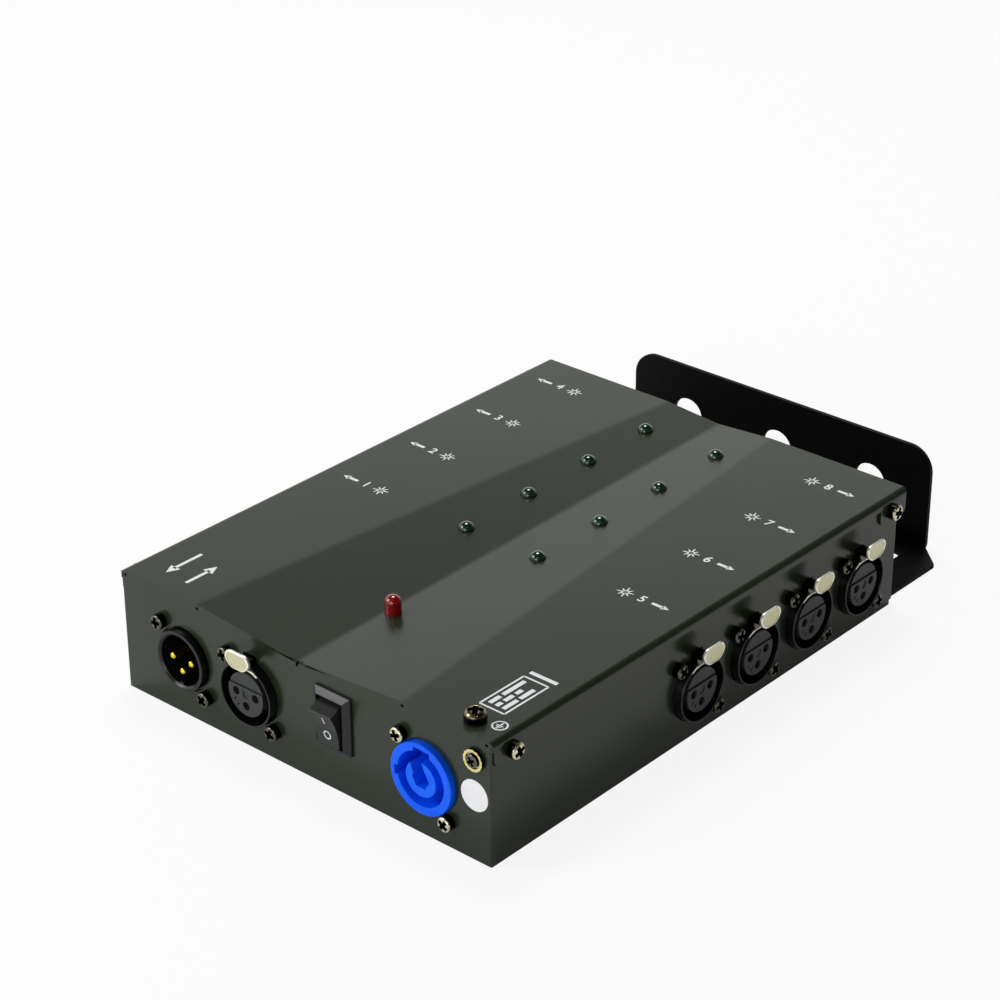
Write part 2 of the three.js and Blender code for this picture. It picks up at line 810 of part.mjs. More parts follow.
// Base plate, window, fold and upright in one sheet, with the posts and the base screws
function baseBracket() {
  const foldY = bracketBack - baseSheet - bracketBend;
  const cutFrom = foldY - cornerCut;
  const plate = raised(
    outline([
      [-baseHalfX, basePlateFront],
      [baseHalfX, basePlateFront],
      [baseHalfX, cutFrom],
      [bracketHalfX, foldY],
      [bracketHalfX, foldY + weldDepth],
      [-bracketHalfX, foldY + weldDepth],
      [-bracketHalfX, foldY],
      [-baseHalfX, cutFrom],
    ]),
    [0, baseSheet],
  );
  const outerBend = baseSheet + bracketBend;
  const bend = [[foldY, 0]];
  for (let i = 0; i <= bendSteps; i++) {
    const turn = (rightAngle * i) / bendSteps;
    bend.push([foldY + outerBend * Math.sin(turn), outerBend - outerBend * Math.cos(turn)]);
  }
  for (let i = bendSteps; i >= 0; i--) {
    const turn = (rightAngle * i) / bendSteps;
    bend.push([foldY + bracketBend * Math.sin(turn), outerBend - bracketBend * Math.cos(turn)]);
  }
  const corner = alongX(bend.slice(1), [-bracketHalfX, bracketHalfX]);
  const shape = new THREE.Shape();
  const low = outerBend - weldDepth;
  shape.moveTo(-bracketHalfX, low);
  shape.lineTo(bracketHalfX, low);
  const cornerX = bracketHalfX - bracketCorner;
  const cornerZ = bracketHeight - bracketCorner;
  shape.lineTo(bracketHalfX, cornerZ);
  shape.absarc(cornerX, cornerZ, bracketCorner, 0, rightAngle);
  shape.lineTo(-cornerX, bracketHeight);
  shape.absarc(-cornerX, cornerZ, bracketCorner, rightAngle, Math.PI);
  const upright = raised(shape, [0, baseSheet], bracketCornerSteps);
  let piece = join(plate, corner, moved(upright, placed(frontFrame, 0, bracketBack, 0)));
  for (const x of [-hangHolePitch, 0, hangHolePitch]) {
    const drill = round(hangHoleRadius, [-baseSheet - overrun, overrun], wideFacets);
    piece = cut(piece, moved(drill, placed(frontFrame, x, bracketBack - baseSheet, hangHoleZ)));
  }
  const gap = raised(
    roundedOutline(windowHalfX, windowDeep * half, windowCorner),
    [-overrun, baseSheet + overrun],
    sheetCornerSteps,
    0,
    windowBack - windowDeep * half,
  );
  piece = cut(piece, gap);
  for (const { halfX, ys, top } of [
    { halfX: postX, ys: postYs, top: boardTop },
    { halfX: powerPostX, ys: powerPostYs, top: powerBoardTop },
  ]) {
    for (const x of [-halfX, halfX]) {
      for (const y of ys) {
        const span = [baseSheet - weldDepth, top - boardSheet];
        piece = join(piece, round(postRadius, span, hiddenFacets, x, y));
      }
    }
  }
  for (const x of [-baseScrewX, baseScrewX]) {
    for (const y of baseScrewYs) {
      const ring = cut(
        round(baseScrewHead + baseScrewRing, [-overrun, baseScrewRing], screwFacets, x, y),
        round(baseScrewHead, [-overrun, baseScrewRing + overrun], screwFacets, x, y),
      );
      piece = cut(
        piece,
        ring,
        slab(cableScrew.arm, cableScrew.slot, [-overrun, cableScrew.sunk], x, y),
        slab(cableScrew.slot, cableScrew.arm, [-overrun, cableScrew.sunk], x, y),
      );
    }
  }
  return piece;
}

part("base_bracket", baseBracket(), bracketBlack);

// Socket: shell with its rear flange and its two screws
const flangeFace = -wallSheet;
const flangeBack = -wallSheet - flangeThick;

function rearFlange(wide, tall) {
  const plan = roundedOutline(wide * half, tall * half, flangeCorner);
  return raised(plan, [flangeBack, flangeFace], plainCornerSteps);
}

function fixingScrews(across, up) {
  const screw = screwBody(cableScrew, wallSheet + flangeThick * half);
  return [shifted(screw, -across, up), shifted(screw, across, -up)];
}

function socketShell() {
  const flange = rearFlange(flangeWide, flangeTall);
  const body = turned(
    [
      [0, -shellDeep],
      [rimRadius, -shellDeep],
      [rimRadius, rimProud],
      [rimBore, rimProud],
      [rimBore, -shellDeep + shellBack],
      [0, -shellDeep + shellBack],
    ],
    ringFacets,
  );
  const bore = round(rimBore, [-shellDeep + shellBack, 0], ringFacets);
  const slotX = [-latchSlotHalf, latchSlotHalf];
  const flangeSpan = [flangeBack - overrun, flangeFace + overrun];
  const rimSpan = [-latchSlotDeep, rimProud + overrun];
  const notched = cut(flange, bore, block(slotX, [latchSlotLow, flangeTall], flangeSpan));
  const slotted = cut(body, block(slotX, [latchSlotLow, rimRadius + overrun], rimSpan));
  return join(notched, slotted, ...fixingScrews(screwAcross, screwUp));
}

function socketFace() {
  const floor = faceProud - faceStep;
  let face = round(faceRadius, [-shellDeep + shellBack, faceProud], ringFacets);
  for (const [x, y] of [
    [-poleSpread, 0],
    [poleSpread, 0],
    [0, -poleSpread],
  ]) {
    face = cut(face, round(poleBore, [faceProud - poleDeep, faceProud + overrun], screwFacets, x, y));
  }
  const wholeWide = [-faceRadius - overrun, faceRadius + overrun];
  const high = faceProud + overrun;
  return cut(
    face,
    block(wholeWide, [stepUp, faceRadius + overrun], [floor, high]),
    block(wholeWide, [stepUp - stepLine, stepUp], [floor - faceStep, high]),
    round(centreDot, [floor, high], screwFacets),
  );
}

function latch() {
  const right = tabOutline.map(([x, y]) => [tabShift + x, tabUp + y]);
  const left = tabOutline.map(([x, y]) => [tabShift - x, tabUp + y]).reverse();
  const tab = raised(outline([...right, ...left]), [tabProud - tabThick, tabProud]);
  const stemX = [-stemHalfWide, stemHalfWide];
  const stem = block(stemX, [stemLow, stemHigh], [-stemDeep, tabProud - tabThick * half]);
  const catchSpan = [catchProud - catchThick, catchProud];
  const arc = [];
  for (let i = 0; i <= catchSteps; i++) {
    const turn = catchTurn * ((2 * i) / catchSteps - 1);
    arc.push([Math.sin(turn), Math.cos(turn)]);
  }
  const outer = arc.map(([x, y]) => [catchOuter * x, catchOuter * y]).reverse();
  const inner = arc.map(([x, y]) => [catchInner * x, catchInner * y]);
  const hook = raised(outline([...inner, ...outer]), catchSpan);
  const link = block(stemX, [catchInner + weldDepth, stemLow + weldDepth], catchSpan);
  return join(tab, stem, link, hook);
}

const shellShape = geometryOf(socketShell());
const faceShape = geometryOf(socketFace());
const latchShape = geometryOf(latch());
for (const { name, place } of sockets) {
  part(`socket_${name}_shell`, shellShape, socketBlack, place);
  part(`socket_${name}_face`, faceShape, faceGrey, place);
  part(`socket_${name}_latch`, latchShape, latchSilver, place);
}

// Input plug: cup, floor and three pins
function plugShell() {
  const flange = rearFlange(flangeWide, flangeTall);
  const cup = turned(
    [
      [0, -plugDeep],
      [plugBody, -plugDeep],
      [plugBody, flangeBack],
      [plugRadius, flangeBack],
      [plugRadius, plugProud - plugEase],
      [plugRadius - plugEase, plugProud],
      [plugBore + plugChamfer, plugProud],
      [plugBore, plugProud - plugChamfer],
      [plugBore, -plugDeep + plugBack],
      [0, -plugDeep + plugBack],
    ],
    wideFacets,
  );
  const bore = round(plugBore, [-plugDeep + plugBack, 0], wideFacets);
  const key = block(
    [-keyHalfWide, keyHalfWide],
    [-plugBore - weldDepth, -plugBore + keyHigh],
    [-plugDeep + plugBack + plugFloor + runningGap, plugProud - plugChamfer],
  );
  return join(cut(flange, bore), cup, key, ...fixingScrews(screwAcross, screwUp));
}

part("plug_shell", plugShell(), socketBlack, plugPlace);
const floorLow = -plugDeep + plugBack;
const floorHigh = floorLow + plugFloor;
const plugFloorDisc = round(plugBore - runningGap, [floorLow, floorHigh], ringFacets);
part("plug_floor", plugFloorDisc, socketBlack, plugPlace);
const pinShape = geometryOf(
  turned(
    [
      [0, floorHigh],
      [pinRadius, floorHigh],
      [pinRadius, pinProud - pinEase],
      [pinRadius - pinEase * half, pinProud - pinEase * half * half],
      [pinRadius - pinEase, pinProud],
      [0, pinProud],
    ],
    screwFacets,
  ),
);
[
  [-poleSpread, 0],
  [poleSpread, 0],
  [0, -poleSpread],
].forEach(([x, y], i) => {
  const pinPlace = plugPlace.clone().multiply(new THREE.Matrix4().makeTranslation(x, y, 0));
  part(`plug_pin_${i + 1}`, pinShape, pinGold, pinPlace);
});

// Mains inlet: housing with two keyways, and the core with its side slot
function turnedBlock([x0, x1], wide, span, turn) {
  const geometry = new THREE.BoxGeometry(x1 - x0, wide, span[1] - span[0]);
  geometry.translate((x0 + x1) * half, 0, (span[0] + span[1]) * half);
  geometry.rotateZ(turn);
  return solidOf(geometry);
}

function inletHousing() {
  const flange = rearFlange(inletFlangeWide, inletFlangeTall);
  const body = turned(
    [
      [0, -inletDeep],
      [inletBody, -inletDeep],
      [inletBody, flangeBack],
      [inletRadius, flangeBack],
      [inletRadius, inletProud - inletEase],
      [inletRadius - inletEase, inletProud],
      [inletBore + inletEase, inletProud],
      [inletBore, inletProud - inletEase],
      [inletBore, -inletDeep + inletBack],
      [0, -inletDeep + inletBack],
    ],
    wideFacets,
  );
  const bore = round(inletBore, [-inletDeep + inletBack, 0], wideFacets);
  let housing = join(cut(flange, bore), body, ...fixingScrews(inletScrewAcross, inletScrewUp));
  const radial = [coreRadius + overrun, inletBore + keywayDeep];
  for (const { turn, wide } of keyways) {
    const span = [inletProud - keywayLong, inletProud + overrun];
    housing = cut(housing, turnedBlock(radial, wide, span, turn));
  }
  return housing;
}

function inletCore() {
  const low = -inletDeep + inletBack;
  const span = [low + coreFloor, inletProud + overrun];
  const turnHole = new THREE.Matrix4().makeRotationZ(coreHoleTurn);
  return cut(
    round(coreRadius, [low, inletProud - inletEase * half], ringFacets),
    moved(round(coreHole, span, coreHoleSides), turnHole),
    turnedBlock([0, coreRadius + overrun], coreSlot, span, coreSlotTurn),
  );
}

part("inlet_housing", inletHousing(), inletBlue, inletPlace);
part("inlet_core", inletCore(), coreBlue, inletPlace);

// Mains switch: bevelled bezel with its body, and the rocker
function switchBody() {
  const outX = bezelWide * half;
  const outY = bezelTall * half;
  const ring = (x, y, z) => [
    [-x, -y, z],
    [x, -y, z],
    [x, y, z],
    [-x, y, z],
  ];
  const points = [
    ...ring(outX, outY, 0),
    ...ring(outX, outY, bezelEdge),
    ...ring(pocketHalfWide, pocketHalfTall, bezelProud),
  ];
  const faces = [0, 2, 1, 0, 3, 2, 8, 9, 10, 8, 10, 11];
  for (const base of [0, 4]) {
    for (let i = 0; i < 4; i++) {
      const next = (i + 1) % 4;
      faces.push(base + i, base + next, base + next + 4, base + i, base + next + 4, base + i + 4);
    }
  }
  const geometry = new THREE.BufferGeometry();
  geometry.setAttribute("position", new THREE.Float32BufferAttribute(points.flat(), 3));
  geometry.setIndex(faces);
  const pocketSpan = [-pocketDeep, bezelProud + overrun];
  const socket = rockerStub + runningGap;
  const stubReach = rockerHalfWide + rockerStubLong + runningGap;
  let body = join(solidOf(geometry), slab(switchBodyWide, switchBodyTall, [-switchDeep, weldDepth]));
  body = cut(
    body,
    block([-pocketHalfWide, pocketHalfWide], [-pocketHalfTall, pocketHalfTall], pocketSpan),
    moved(round(socket, [-stubReach, stubReach], screwFacets), placed(rightFrame, 0, 0, rockerPivot)),
  );
  for (const y of [-bladeSpread, bladeSpread]) {
    const bladeSpan = [-switchDeep - bladeLong, -switchDeep + weldDepth];
    body = join(body, slab(bladeWide, bladeThick, bladeSpan, 0, y));
  }
  return body;
}

function rocker() {
  const points = [];
  for (let i = 0; i <= rockerHollowSteps; i++) {
    const share = (2 * i) / rockerHollowSteps - 1;
    points.push([-rockerApex.along * share, rockerApex.out - rockerHollow * (1 - share * share)]);
  }
  for (const [y, z] of rockerUnder) {
    points.push([-y, z]);
  }
  for (const [y, z] of [...rockerUnder].reverse()) {
    points.push([y, z]);
  }
  const body = alongX(points, [-rockerHalfWide, rockerHalfWide]);
  const reach = rockerHalfWide + rockerStubLong;
  const stubs = moved(round(rockerStub, [-reach, reach], screwFacets), rightFrame);
  return moved(join(body, stubs), new THREE.Matrix4().makeRotationX(rockerTurn));
}

part("switch_body", switchBody(), switchBlack, switchPlace);
const rockerPlace = switchPlace.clone().multiply(new THREE.Matrix4().makeTranslation(0, 0, rockerPivot));
part("switch_rocker", rocker(), rockerBlack, rockerPlace);

// Lamps with their legs down to the board
for (const { name, x, y, rise, material } of lamps) {
  const surface = boxHeight - dropAt(x, y);
  const domeBase = surface + rise - lampRadius;
  const low = surface - coverSheet - lampBodyBelow;
  const profile = [
    [0, low],
    [lampRadius, low],
  ];
  for (let i = 0; i < lampDomeSteps; i++) {
    const turn = (rightAngle * i) / lampDomeSteps;
    profile.push([lampRadius * Math.cos(turn), domeBase + lampRadius * Math.sin(turn)]);
  }
  profile.push([0, domeBase + lampRadius]);
  const legs = [-legSpread, legSpread].map((side) =>
    slab(legSize, legSize, [boardTop, low + weldDepth], x + side, y),
  );
  part(name, join(turned(profile, lampFacets, x, y), ...legs), material);
}

// Screws of the cover and the earth point
const earScrewShape = geometryOf(screwBody(earScrew, earScrewReach));
const earX = sideX + coverSheet;
earSpans.forEach(({ screwY }, i) => {
  const where = i === 0 ? "front" : "rear";
  const rightPlace = placed(rightFrame, earX, screwY, earScrewZ);
  const leftPlace = placed(leftFrame, -earX, screwY, earScrewZ);
  part(`ear_screw_right_${where}`, earScrewShape, screwNickel, rightPlace);
  part(`ear_screw_left_${where}`, earScrewShape, screwNickel, leftPlace);
});
const coverScrewPlace = new THREE.Matrix4().makeTranslation(coverScrewX, coverScrewY, boxHeight);
part("cover_screw", screwBody(coverScrew, coverScrewReach), screwNickel, coverScrewPlace);
const washer = cut(
  round(washerRadius, [0, washerThick], ringFacets),
  round(earScrew.shaft + holeGap, [-overrun, washerThick + overrun], hiddenFacets),
);
part("earth_washer", washer, washerBrass, placed(frontFrame, earthX, 0, earthZ));
const earthScrewShape = screwBody(earthScrew, earScrewReach);
part("earth_screw", earthScrewShape, screwNickel, placed(frontFrame, earthX, -washerThick, earthZ));

// Blank round label
const labelPlace = placed(frontFrame, labelX, 0, labelZ);
part("round_label", round(labelRadius, [0, labelThick], wideFacets), labelWhite, labelPlace);

// Boards
function blockOn({ wide, deep, tall, x, y }, top) {
  return slab(wide, deep, [top - weldDepth, top + tall], x, y);
}

function boardScrews(board, halfX, ys, top) {
  for (const x of [-halfX, halfX]) {
    for (const y of ys) {
      const span = [top - weldDepth, top + boardScrewTall];
      board = join(board, round(boardScrewRadius, span, hiddenFacets, x, y));
    }
  }
  return board;
}

function mainBoard() {
  const sheet = [boardTop - boardSheet, boardTop];
  let board = block([-boardHalfX, boardHalfX], [boardFront, boardBack], sheet);
  for (const piece of chipBlocks) {
    board = join(board, blockOn(piece, boardTop));
  }
  return boardScrews(board, postX, postYs, boardTop);
}

function powerBoard() {
  const sheet = [powerBoardTop - boardSheet, powerBoardTop];
  let board = block([-powerHalfX, powerHalfX], [powerFront, powerBack], sheet);
  for (const piece of powerBlocks) {
    board = join(board, blockOn(piece, powerBoardTop));
  }
  board = boardScrews(board, powerPostX, powerPostYs, powerBoardTop);
  const canSpan = [powerBoardTop - weldDepth, powerBoardTop + canTall];
  return join(board, round(canRadius, canSpan, lampFacets, canX, canY));
}

function transformer() {
  const core = transformerCore;
  const coil = transformerCoil;
  const coilLow = powerBoardTop + (core.tall - coil.tall) * half;
  const coreSpan = [powerBoardTop, powerBoardTop + core.tall];
  return join(
    slab(core.wide, core.deep, coreSpan, transformerX, transformerY),
    slab(coil.wide, coil.deep, [coilLow, coilLow + coil.tall], transformerX, transformerY),
  );
}

part("main_board", mainBoard(), boardGreen);
part("power_board", powerBoard(), boardGreen);
part("transformer", transformer(), coilTan);

// The origin is the middle of the footprint, on the floor
frame.position.y = -(bracketBack - tabProud) * half;

export default splitter;
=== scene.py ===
# %% [markdown]
# # A lighting-signal splitter box
# The box takes one control signal in and hands it on to eight outputs. It is folded from sheet
# steel, powder coated black, and carries moulded connectors, a mains inlet, a switch and lamps.
# The mechanical model is loaded first and never moved. Everything below is built round it, in
# the same frame: X to the right along the front, Y to the back, Z up, in metres.

# %% Load the mechanical model
import math

import bmesh
import bpy
from mathutils import Matrix, Vector


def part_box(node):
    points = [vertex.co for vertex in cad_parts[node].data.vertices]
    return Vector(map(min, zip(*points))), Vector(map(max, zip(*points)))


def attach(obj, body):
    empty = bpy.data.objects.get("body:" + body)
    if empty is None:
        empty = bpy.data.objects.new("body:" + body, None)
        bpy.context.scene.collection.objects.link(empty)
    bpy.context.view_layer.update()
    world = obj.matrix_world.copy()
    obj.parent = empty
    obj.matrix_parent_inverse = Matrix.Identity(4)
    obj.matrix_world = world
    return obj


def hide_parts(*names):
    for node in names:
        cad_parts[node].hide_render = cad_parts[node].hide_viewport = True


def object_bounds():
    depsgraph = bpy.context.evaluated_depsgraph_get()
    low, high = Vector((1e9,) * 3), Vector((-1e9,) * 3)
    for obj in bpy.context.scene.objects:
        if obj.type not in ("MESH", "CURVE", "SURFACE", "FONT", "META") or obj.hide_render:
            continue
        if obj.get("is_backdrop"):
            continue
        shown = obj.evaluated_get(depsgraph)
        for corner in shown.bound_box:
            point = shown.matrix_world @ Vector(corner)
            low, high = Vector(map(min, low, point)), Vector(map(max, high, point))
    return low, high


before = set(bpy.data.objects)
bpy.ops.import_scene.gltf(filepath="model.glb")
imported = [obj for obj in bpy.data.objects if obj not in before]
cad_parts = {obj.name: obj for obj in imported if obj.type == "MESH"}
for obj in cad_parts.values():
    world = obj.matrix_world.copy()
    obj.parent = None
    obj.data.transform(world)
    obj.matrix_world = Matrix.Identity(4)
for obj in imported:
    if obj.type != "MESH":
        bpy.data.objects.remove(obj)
cad_low, cad_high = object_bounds()
scene = bpy.context.scene
print("nodes", len(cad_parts), "size in mm", [round(v * 1000, 1) for v in cad_high - cad_low])

# %% [markdown]
# ## Units and planes
# Sizes are typed in millimetres, because that is how such parts are drawn, and one factor turns
# them to metres. The box is centred from left to right, so its middle is X zero.
# The planes that the pieces sit on are read from the model, so that a seat is never guessed.

# %% Units and planes
MM = 0.001
HALF = 0.5
FULL_TURN = 2 * math.pi
QUARTER_TURN = math.pi / 2


def span_mm(node):
    low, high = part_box(node)
    return [v / MM for v in low], [v / MM for v in high]


wall_low, wall_high = span_mm("chassis_walls")
cover_low, cover_high = span_mm("top_cover")
base_low, base_high = span_mm("base_bracket")
front_y = wall_low[1]
back_y = wall_high[1]
side_x = wall_high[0]
top_z = cover_high[2]
print("front", round(front_y, 2), "side", round(side_x, 2), "top", round(top_z, 2))

# %% [markdown]
# ## The camera
# A pinhole camera was fitted to the outline and the connector centres of the photograph. It
# stands to the right of the front, looks down at 28 degrees and is hardly rolled. A long lens
# keeps the box's edges nearly parallel, which is what makes product pictures look calm.

# %% The camera
CAMERA_AT_MM = (538.3, -640.9, 487.4)
CAMERA_TURN = math.radians(41.28)
CAMERA_TILT = math.radians(27.706)
CAMERA_ROLL = math.radians(-0.203)
SENSOR_MM = 36.0
LENS_MM = 101.0

away = Vector(
    (
        math.sin(CAMERA_TURN) * math.cos(CAMERA_TILT),
        -math.cos(CAMERA_TURN) * math.cos(CAMERA_TILT),
        math.sin(CAMERA_TILT),
    )
)
level_right = (-away).cross(Vector((0, 0, 1))).normalized()
level_up = level_right.cross(-away)
rolled_right = level_right * math.cos(CAMERA_ROLL) + level_up * math.sin(CAMERA_ROLL)
rolled_up = level_up * math.cos(CAMERA_ROLL) - level_right * math.sin(CAMERA_ROLL)
turn = Matrix((rolled_right, rolled_up, away)).transposed().to_4x4()
lens = bpy.data.cameras.new("camera")
lens.sensor_width = SENSOR_MM
lens.lens = LENS_MM
camera = bpy.data.objects.new("camera", lens)
scene.collection.objects.link(camera)
camera.matrix_world = Matrix.Translation(Vector(CAMERA_AT_MM) * MM) @ turn
scene.camera = camera
print("camera", [round(v, 3) for v in camera.location])

# %% [markdown]
# ## Nodes for materials
# A material is a small network of nodes. One function adds a node, sets its properties, and
# either types a value into a socket or links another node's output to it. Colours are written as
# the hex numbers that a paint chart or a screen shows, so one function turns them to linear light.

# %% Node and colour helpers


def linear(hex_colour):
    def channel(part):
        value = int(part, 16) / 255
        return value / 12.92 if value <= 0.04045 else ((value + 0.055) / 1.055) ** 2.4

    return tuple(channel(hex_colour[i : i + 2]) for i in (1, 3, 5)) + (1.0,)


def add_node(tree, kind, sockets=None, **settings):
    node = tree.nodes.new(kind)
    for name, value in settings.items():
        setattr(node, name, value)
    for name, value in (sockets or {}).items():
        if isinstance(value, bpy.types.NodeSocket):
            tree.links.new(value, node.inputs[name])
        else:
            node.inputs[name].default_value = value
    return node


def start_material(name, **surface):
    material = bpy.data.materials.new(name)
    material.use_nodes = True
    tree = material.node_tree
    tree.nodes.clear()
    shader = add_node(tree, "ShaderNodeBsdfPrincipled", surface)
    add_node(tree, "ShaderNodeOutputMaterial", {"Surface": shader.outputs["BSDF"]})
    spot = add_node(tree, "ShaderNodeTexCoord").outputs["Object"]
    return material, tree, shader, spot


def per_metre(size_mm):
    return 1.0 / (size_mm * MM)


# %% [markdown]
# ## Powder coat
# The walls and the cover are sheet steel with a baked black powder coat. The powder melts into a satin skin
# with a fine orange-peel: low bumps a third of a millimetre apart, each with its own small glint. Here the
# bumps are drawn 0.8 mm apart, as coarse as they need to be to show, and the same noise varies the
# roughness. A second, wide noise makes the colour drift a little, as a sprayed coat does. The base plate and
# its bracket get a duller and blacker copy of the same coat, which is painted shade: that part stands in
# shade.

# %% Powder coat on sheet steel
GRAIN_MM = 0.8
GRAIN_DEEP = 0.1
DRIFT_MM = 45.0
NOISE_LOW = 0.3
NOISE_HIGH = 0.7
SMOOTH_SHARE = 0.88
ROUGH_SHARE = 1.12


def powder_coat(name, dark, light, roughness, bump, gloss):
    material, tree, shader, spot = start_material(
        name,
        **{"Metallic": 0.0, "Roughness": roughness, "IOR": 1.5, "Specular IOR Level": gloss},
    )
    drift = add_node(
        tree,
        "ShaderNodeTexNoise",
        {"Vector": spot, "Scale": per_metre(DRIFT_MM), "Detail": 3.0, "Roughness": 0.5},
    )
    grain = add_node(
        tree,
        "ShaderNodeTexNoise",
        {"Vector": spot, "Scale": per_metre(GRAIN_MM), "Detail": 2.0, "Roughness": 0.6},
    )
    tone = add_node(
        tree,
        "ShaderNodeMix",
        {"Factor": drift.outputs["Fac"], 6: linear(dark), 7: linear(light)},
        data_type="RGBA",
    )
    speck = add_node(
        tree,
        "ShaderNodeMapRange",
        {
            "Value": grain.outputs["Fac"],
            "From Min": NOISE_LOW,
            "From Max": NOISE_HIGH,
            "To Min": roughness * SMOOTH_SHARE,
            "To Max": roughness * ROUGH_SHARE,
        },
    )
    peel = add_node(
        tree,
        "ShaderNodeBump",
        {"Strength": bump, "Distance": GRAIN_MM * GRAIN_DEEP * MM, "Height": grain.outputs["Fac"]},
    )
    tree.links.new(tone.outputs[2], shader.inputs["Base Color"])
    tree.links.new(speck.outputs["Result"], shader.inputs["Roughness"])
    tree.links.new(peel.outputs["Normal"], shader.inputs["Normal"])
    return material


powder_satin = powder_coat("satin_black_powder_coat", "#1c2416", "#232c1b", 0.24, 0.12, 0.48)
# Painted shade: the same coat, blacker and less glossy, for the base plate and bracket, which stand in
# shade.
powder_coat_painted_shade = powder_coat("black_powder_coat_painted_shade", "#020202", "#050505", 0.5, 0.3, 0.1)
print("powder coats", powder_satin.name, powder_coat_painted_shade.name)

# %% [markdown]
# ## Moulded plastics
# Connector shells, insulators, the switch and the mains inlet are injection moulded: glass-filled
# nylon for the shells, polyester for the insulators, plain nylon for the inlet. The mould is spark
# eroded, which leaves a fine even texture. The colour runs right through, with a faint flow
# mottle. One recipe makes them all, with colour, roughness and texture for each.

# %% Moulded plastics
SPARK_MM = 0.45
SPARK_DEEP = 0.1
FLOW_MM = 6.0


def moulded(name, dark, light, roughness, bump, gloss=0.5):
    material, tree, shader, spot = start_material(
        name,
        **{"Metallic": 0.0, "Roughness": roughness, "IOR": 1.46, "Specular IOR Level": gloss},
    )
    flow = add_node(
        tree,
        "ShaderNodeTexNoise",
        {"Vector": spot, "Scale": per_metre(FLOW_MM), "Detail": 4.0, "Distortion": 0.4},
    )
    spark = add_node(
        tree,
        "ShaderNodeTexNoise",
        {"Vector": spot, "Scale": per_metre(SPARK_MM), "Detail": 2.0},
    )
    tone = add_node(
        tree,
        "ShaderNodeMix",
        {"Factor": flow.outputs["Fac"], 6: linear(dark), 7: linear(light)},
        data_type="RGBA",
    )
    skin = add_node(
        tree,
        "ShaderNodeBump",
        {"Strength": bump, "Distance": SPARK_MM * SPARK_DEEP * MM, "Height": spark.outputs["Fac"]},
    )
    tree.links.new(tone.outputs[2], shader.inputs["Base Color"])
    tree.links.new(skin.outputs["Normal"], shader.inputs["Normal"])
    return material


nylon_black = moulded("black_glass_filled_nylon", "#070808", "#0d0e0e", 0.3, 0.3)
insulator_black = moulded("black_polyester_insulator", "#030303", "#060606", 0.55, 0.2)
insulator_grey = moulded("dark_grey_polyester_insulator", "#26292a", "#323536", 0.45, 0.3)
nylon_blue = moulded("bright_blue_nylon", "#0058ff", "#0066ff", 0.36, 0.2, 0.25)
nylon_light_blue = moulded("light_blue_nylon", "#005cff", "#006cff", 0.34, 0.2, 0.25)
switch_black = moulded("black_switch_nylon", "#15151a", "#1e1e23", 0.33, 0.25)
rocker_black = moulded("charcoal_rocker_nylon", "#161916", "#1f221f", 0.36, 0.35)
print("plastics ready")

# %% [markdown]
# ## Metals
# The latches are nickel plated with a satin face and a warm cast, the pins are gold plated, and the small
# screws and the earth screw black nickel. The screws of the inlet and the cover's ears are passivated zinc
# with a yellow tint, and the cover's own screw is a blacker zinc whose random cream spots are painted
# glints. The earth washer is brass, drawn paler than clean brass. A plated surface is metal all over: the
# colour is its reflectance. A stretched noise stands for the brushing, and a fine one for wear that makes
# single spots duller. The upright sides of the screws look black in the photograph.
# That is painted shade here, not a property of the plating: the finishes of the screws and of the earth
# washer go dark where the surface turns away from the piece's own axis.

# %% Plated metals
BRUSH_MM = 0.25
BRUSH_DEEP = 0.1
WEAR_MM = 1.6
FLANK_BELOW = 0.25
FACE_ABOVE = 0.6
POLISHED_SHARE = 0.8
WORN_SHARE = 1.3


def plated(name, dark, light, roughness, stretch, bump, flank=None):
    material, tree, shader, spot = start_material(name, Metallic=1.0, Roughness=roughness)
    fine = per_metre(BRUSH_MM)
    along = add_node(tree, "ShaderNodeMapping", {"Vector": spot, "Scale": (fine * stretch, fine, fine)})
    brush = add_node(
        tree,
        "ShaderNodeTexNoise",
        {"Vector": along.outputs["Vector"], "Scale": 1.0, "Detail": 2.0},
    )
    wear = add_node(
        tree,
        "ShaderNodeTexNoise",
        {"Vector": spot, "Scale": per_metre(WEAR_MM), "Detail": 4.0, "Roughness": 0.6},
    )
    tone = add_node(
        tree,
        "ShaderNodeMix",
        {"Factor": wear.outputs["Fac"], 6: linear(dark), 7: linear(light)},
        data_type="RGBA",
    )
    dull = add_node(
        tree,
        "ShaderNodeMapRange",
        {
            "Value": wear.outputs["Fac"],
            "From Min": NOISE_LOW,
            "From Max": NOISE_HIGH,
            "To Min": roughness * POLISHED_SHARE,
            "To Max": roughness * WORN_SHARE,
        },
    )
    lines = add_node(
        tree,
        "ShaderNodeBump",
        {"Strength": bump, "Distance": BRUSH_MM * BRUSH_DEEP * MM, "Height": brush.outputs["Fac"]},
    )
    finish = tone
    # Painted shade: the dark flank colour takes over where the surface turns away from the axis.
    if flank:
        facing = add_node(tree, "ShaderNodeTexCoord").outputs["Normal"]
        outward = add_node(tree, "ShaderNodeSeparateXYZ", {"Vector": facing}).outputs["Z"]
        face = add_node(
            tree,
            "ShaderNodeMapRange",
            {"Value": outward, "From Min": FLANK_BELOW, "From Max": FACE_ABOVE},
        )
        finish = add_node(
            tree,
            "ShaderNodeMix",
            {"Factor": face.outputs["Result"], 6: linear(flank), 7: tone.outputs[2]},
            data_type="RGBA",
        )
    tree.links.new(finish.outputs[2], shader.inputs["Base Color"])
    tree.links.new(dull.outputs["Result"], shader.inputs["Roughness"])
    tree.links.new(lines.outputs["Normal"], shader.inputs["Normal"])
    return material


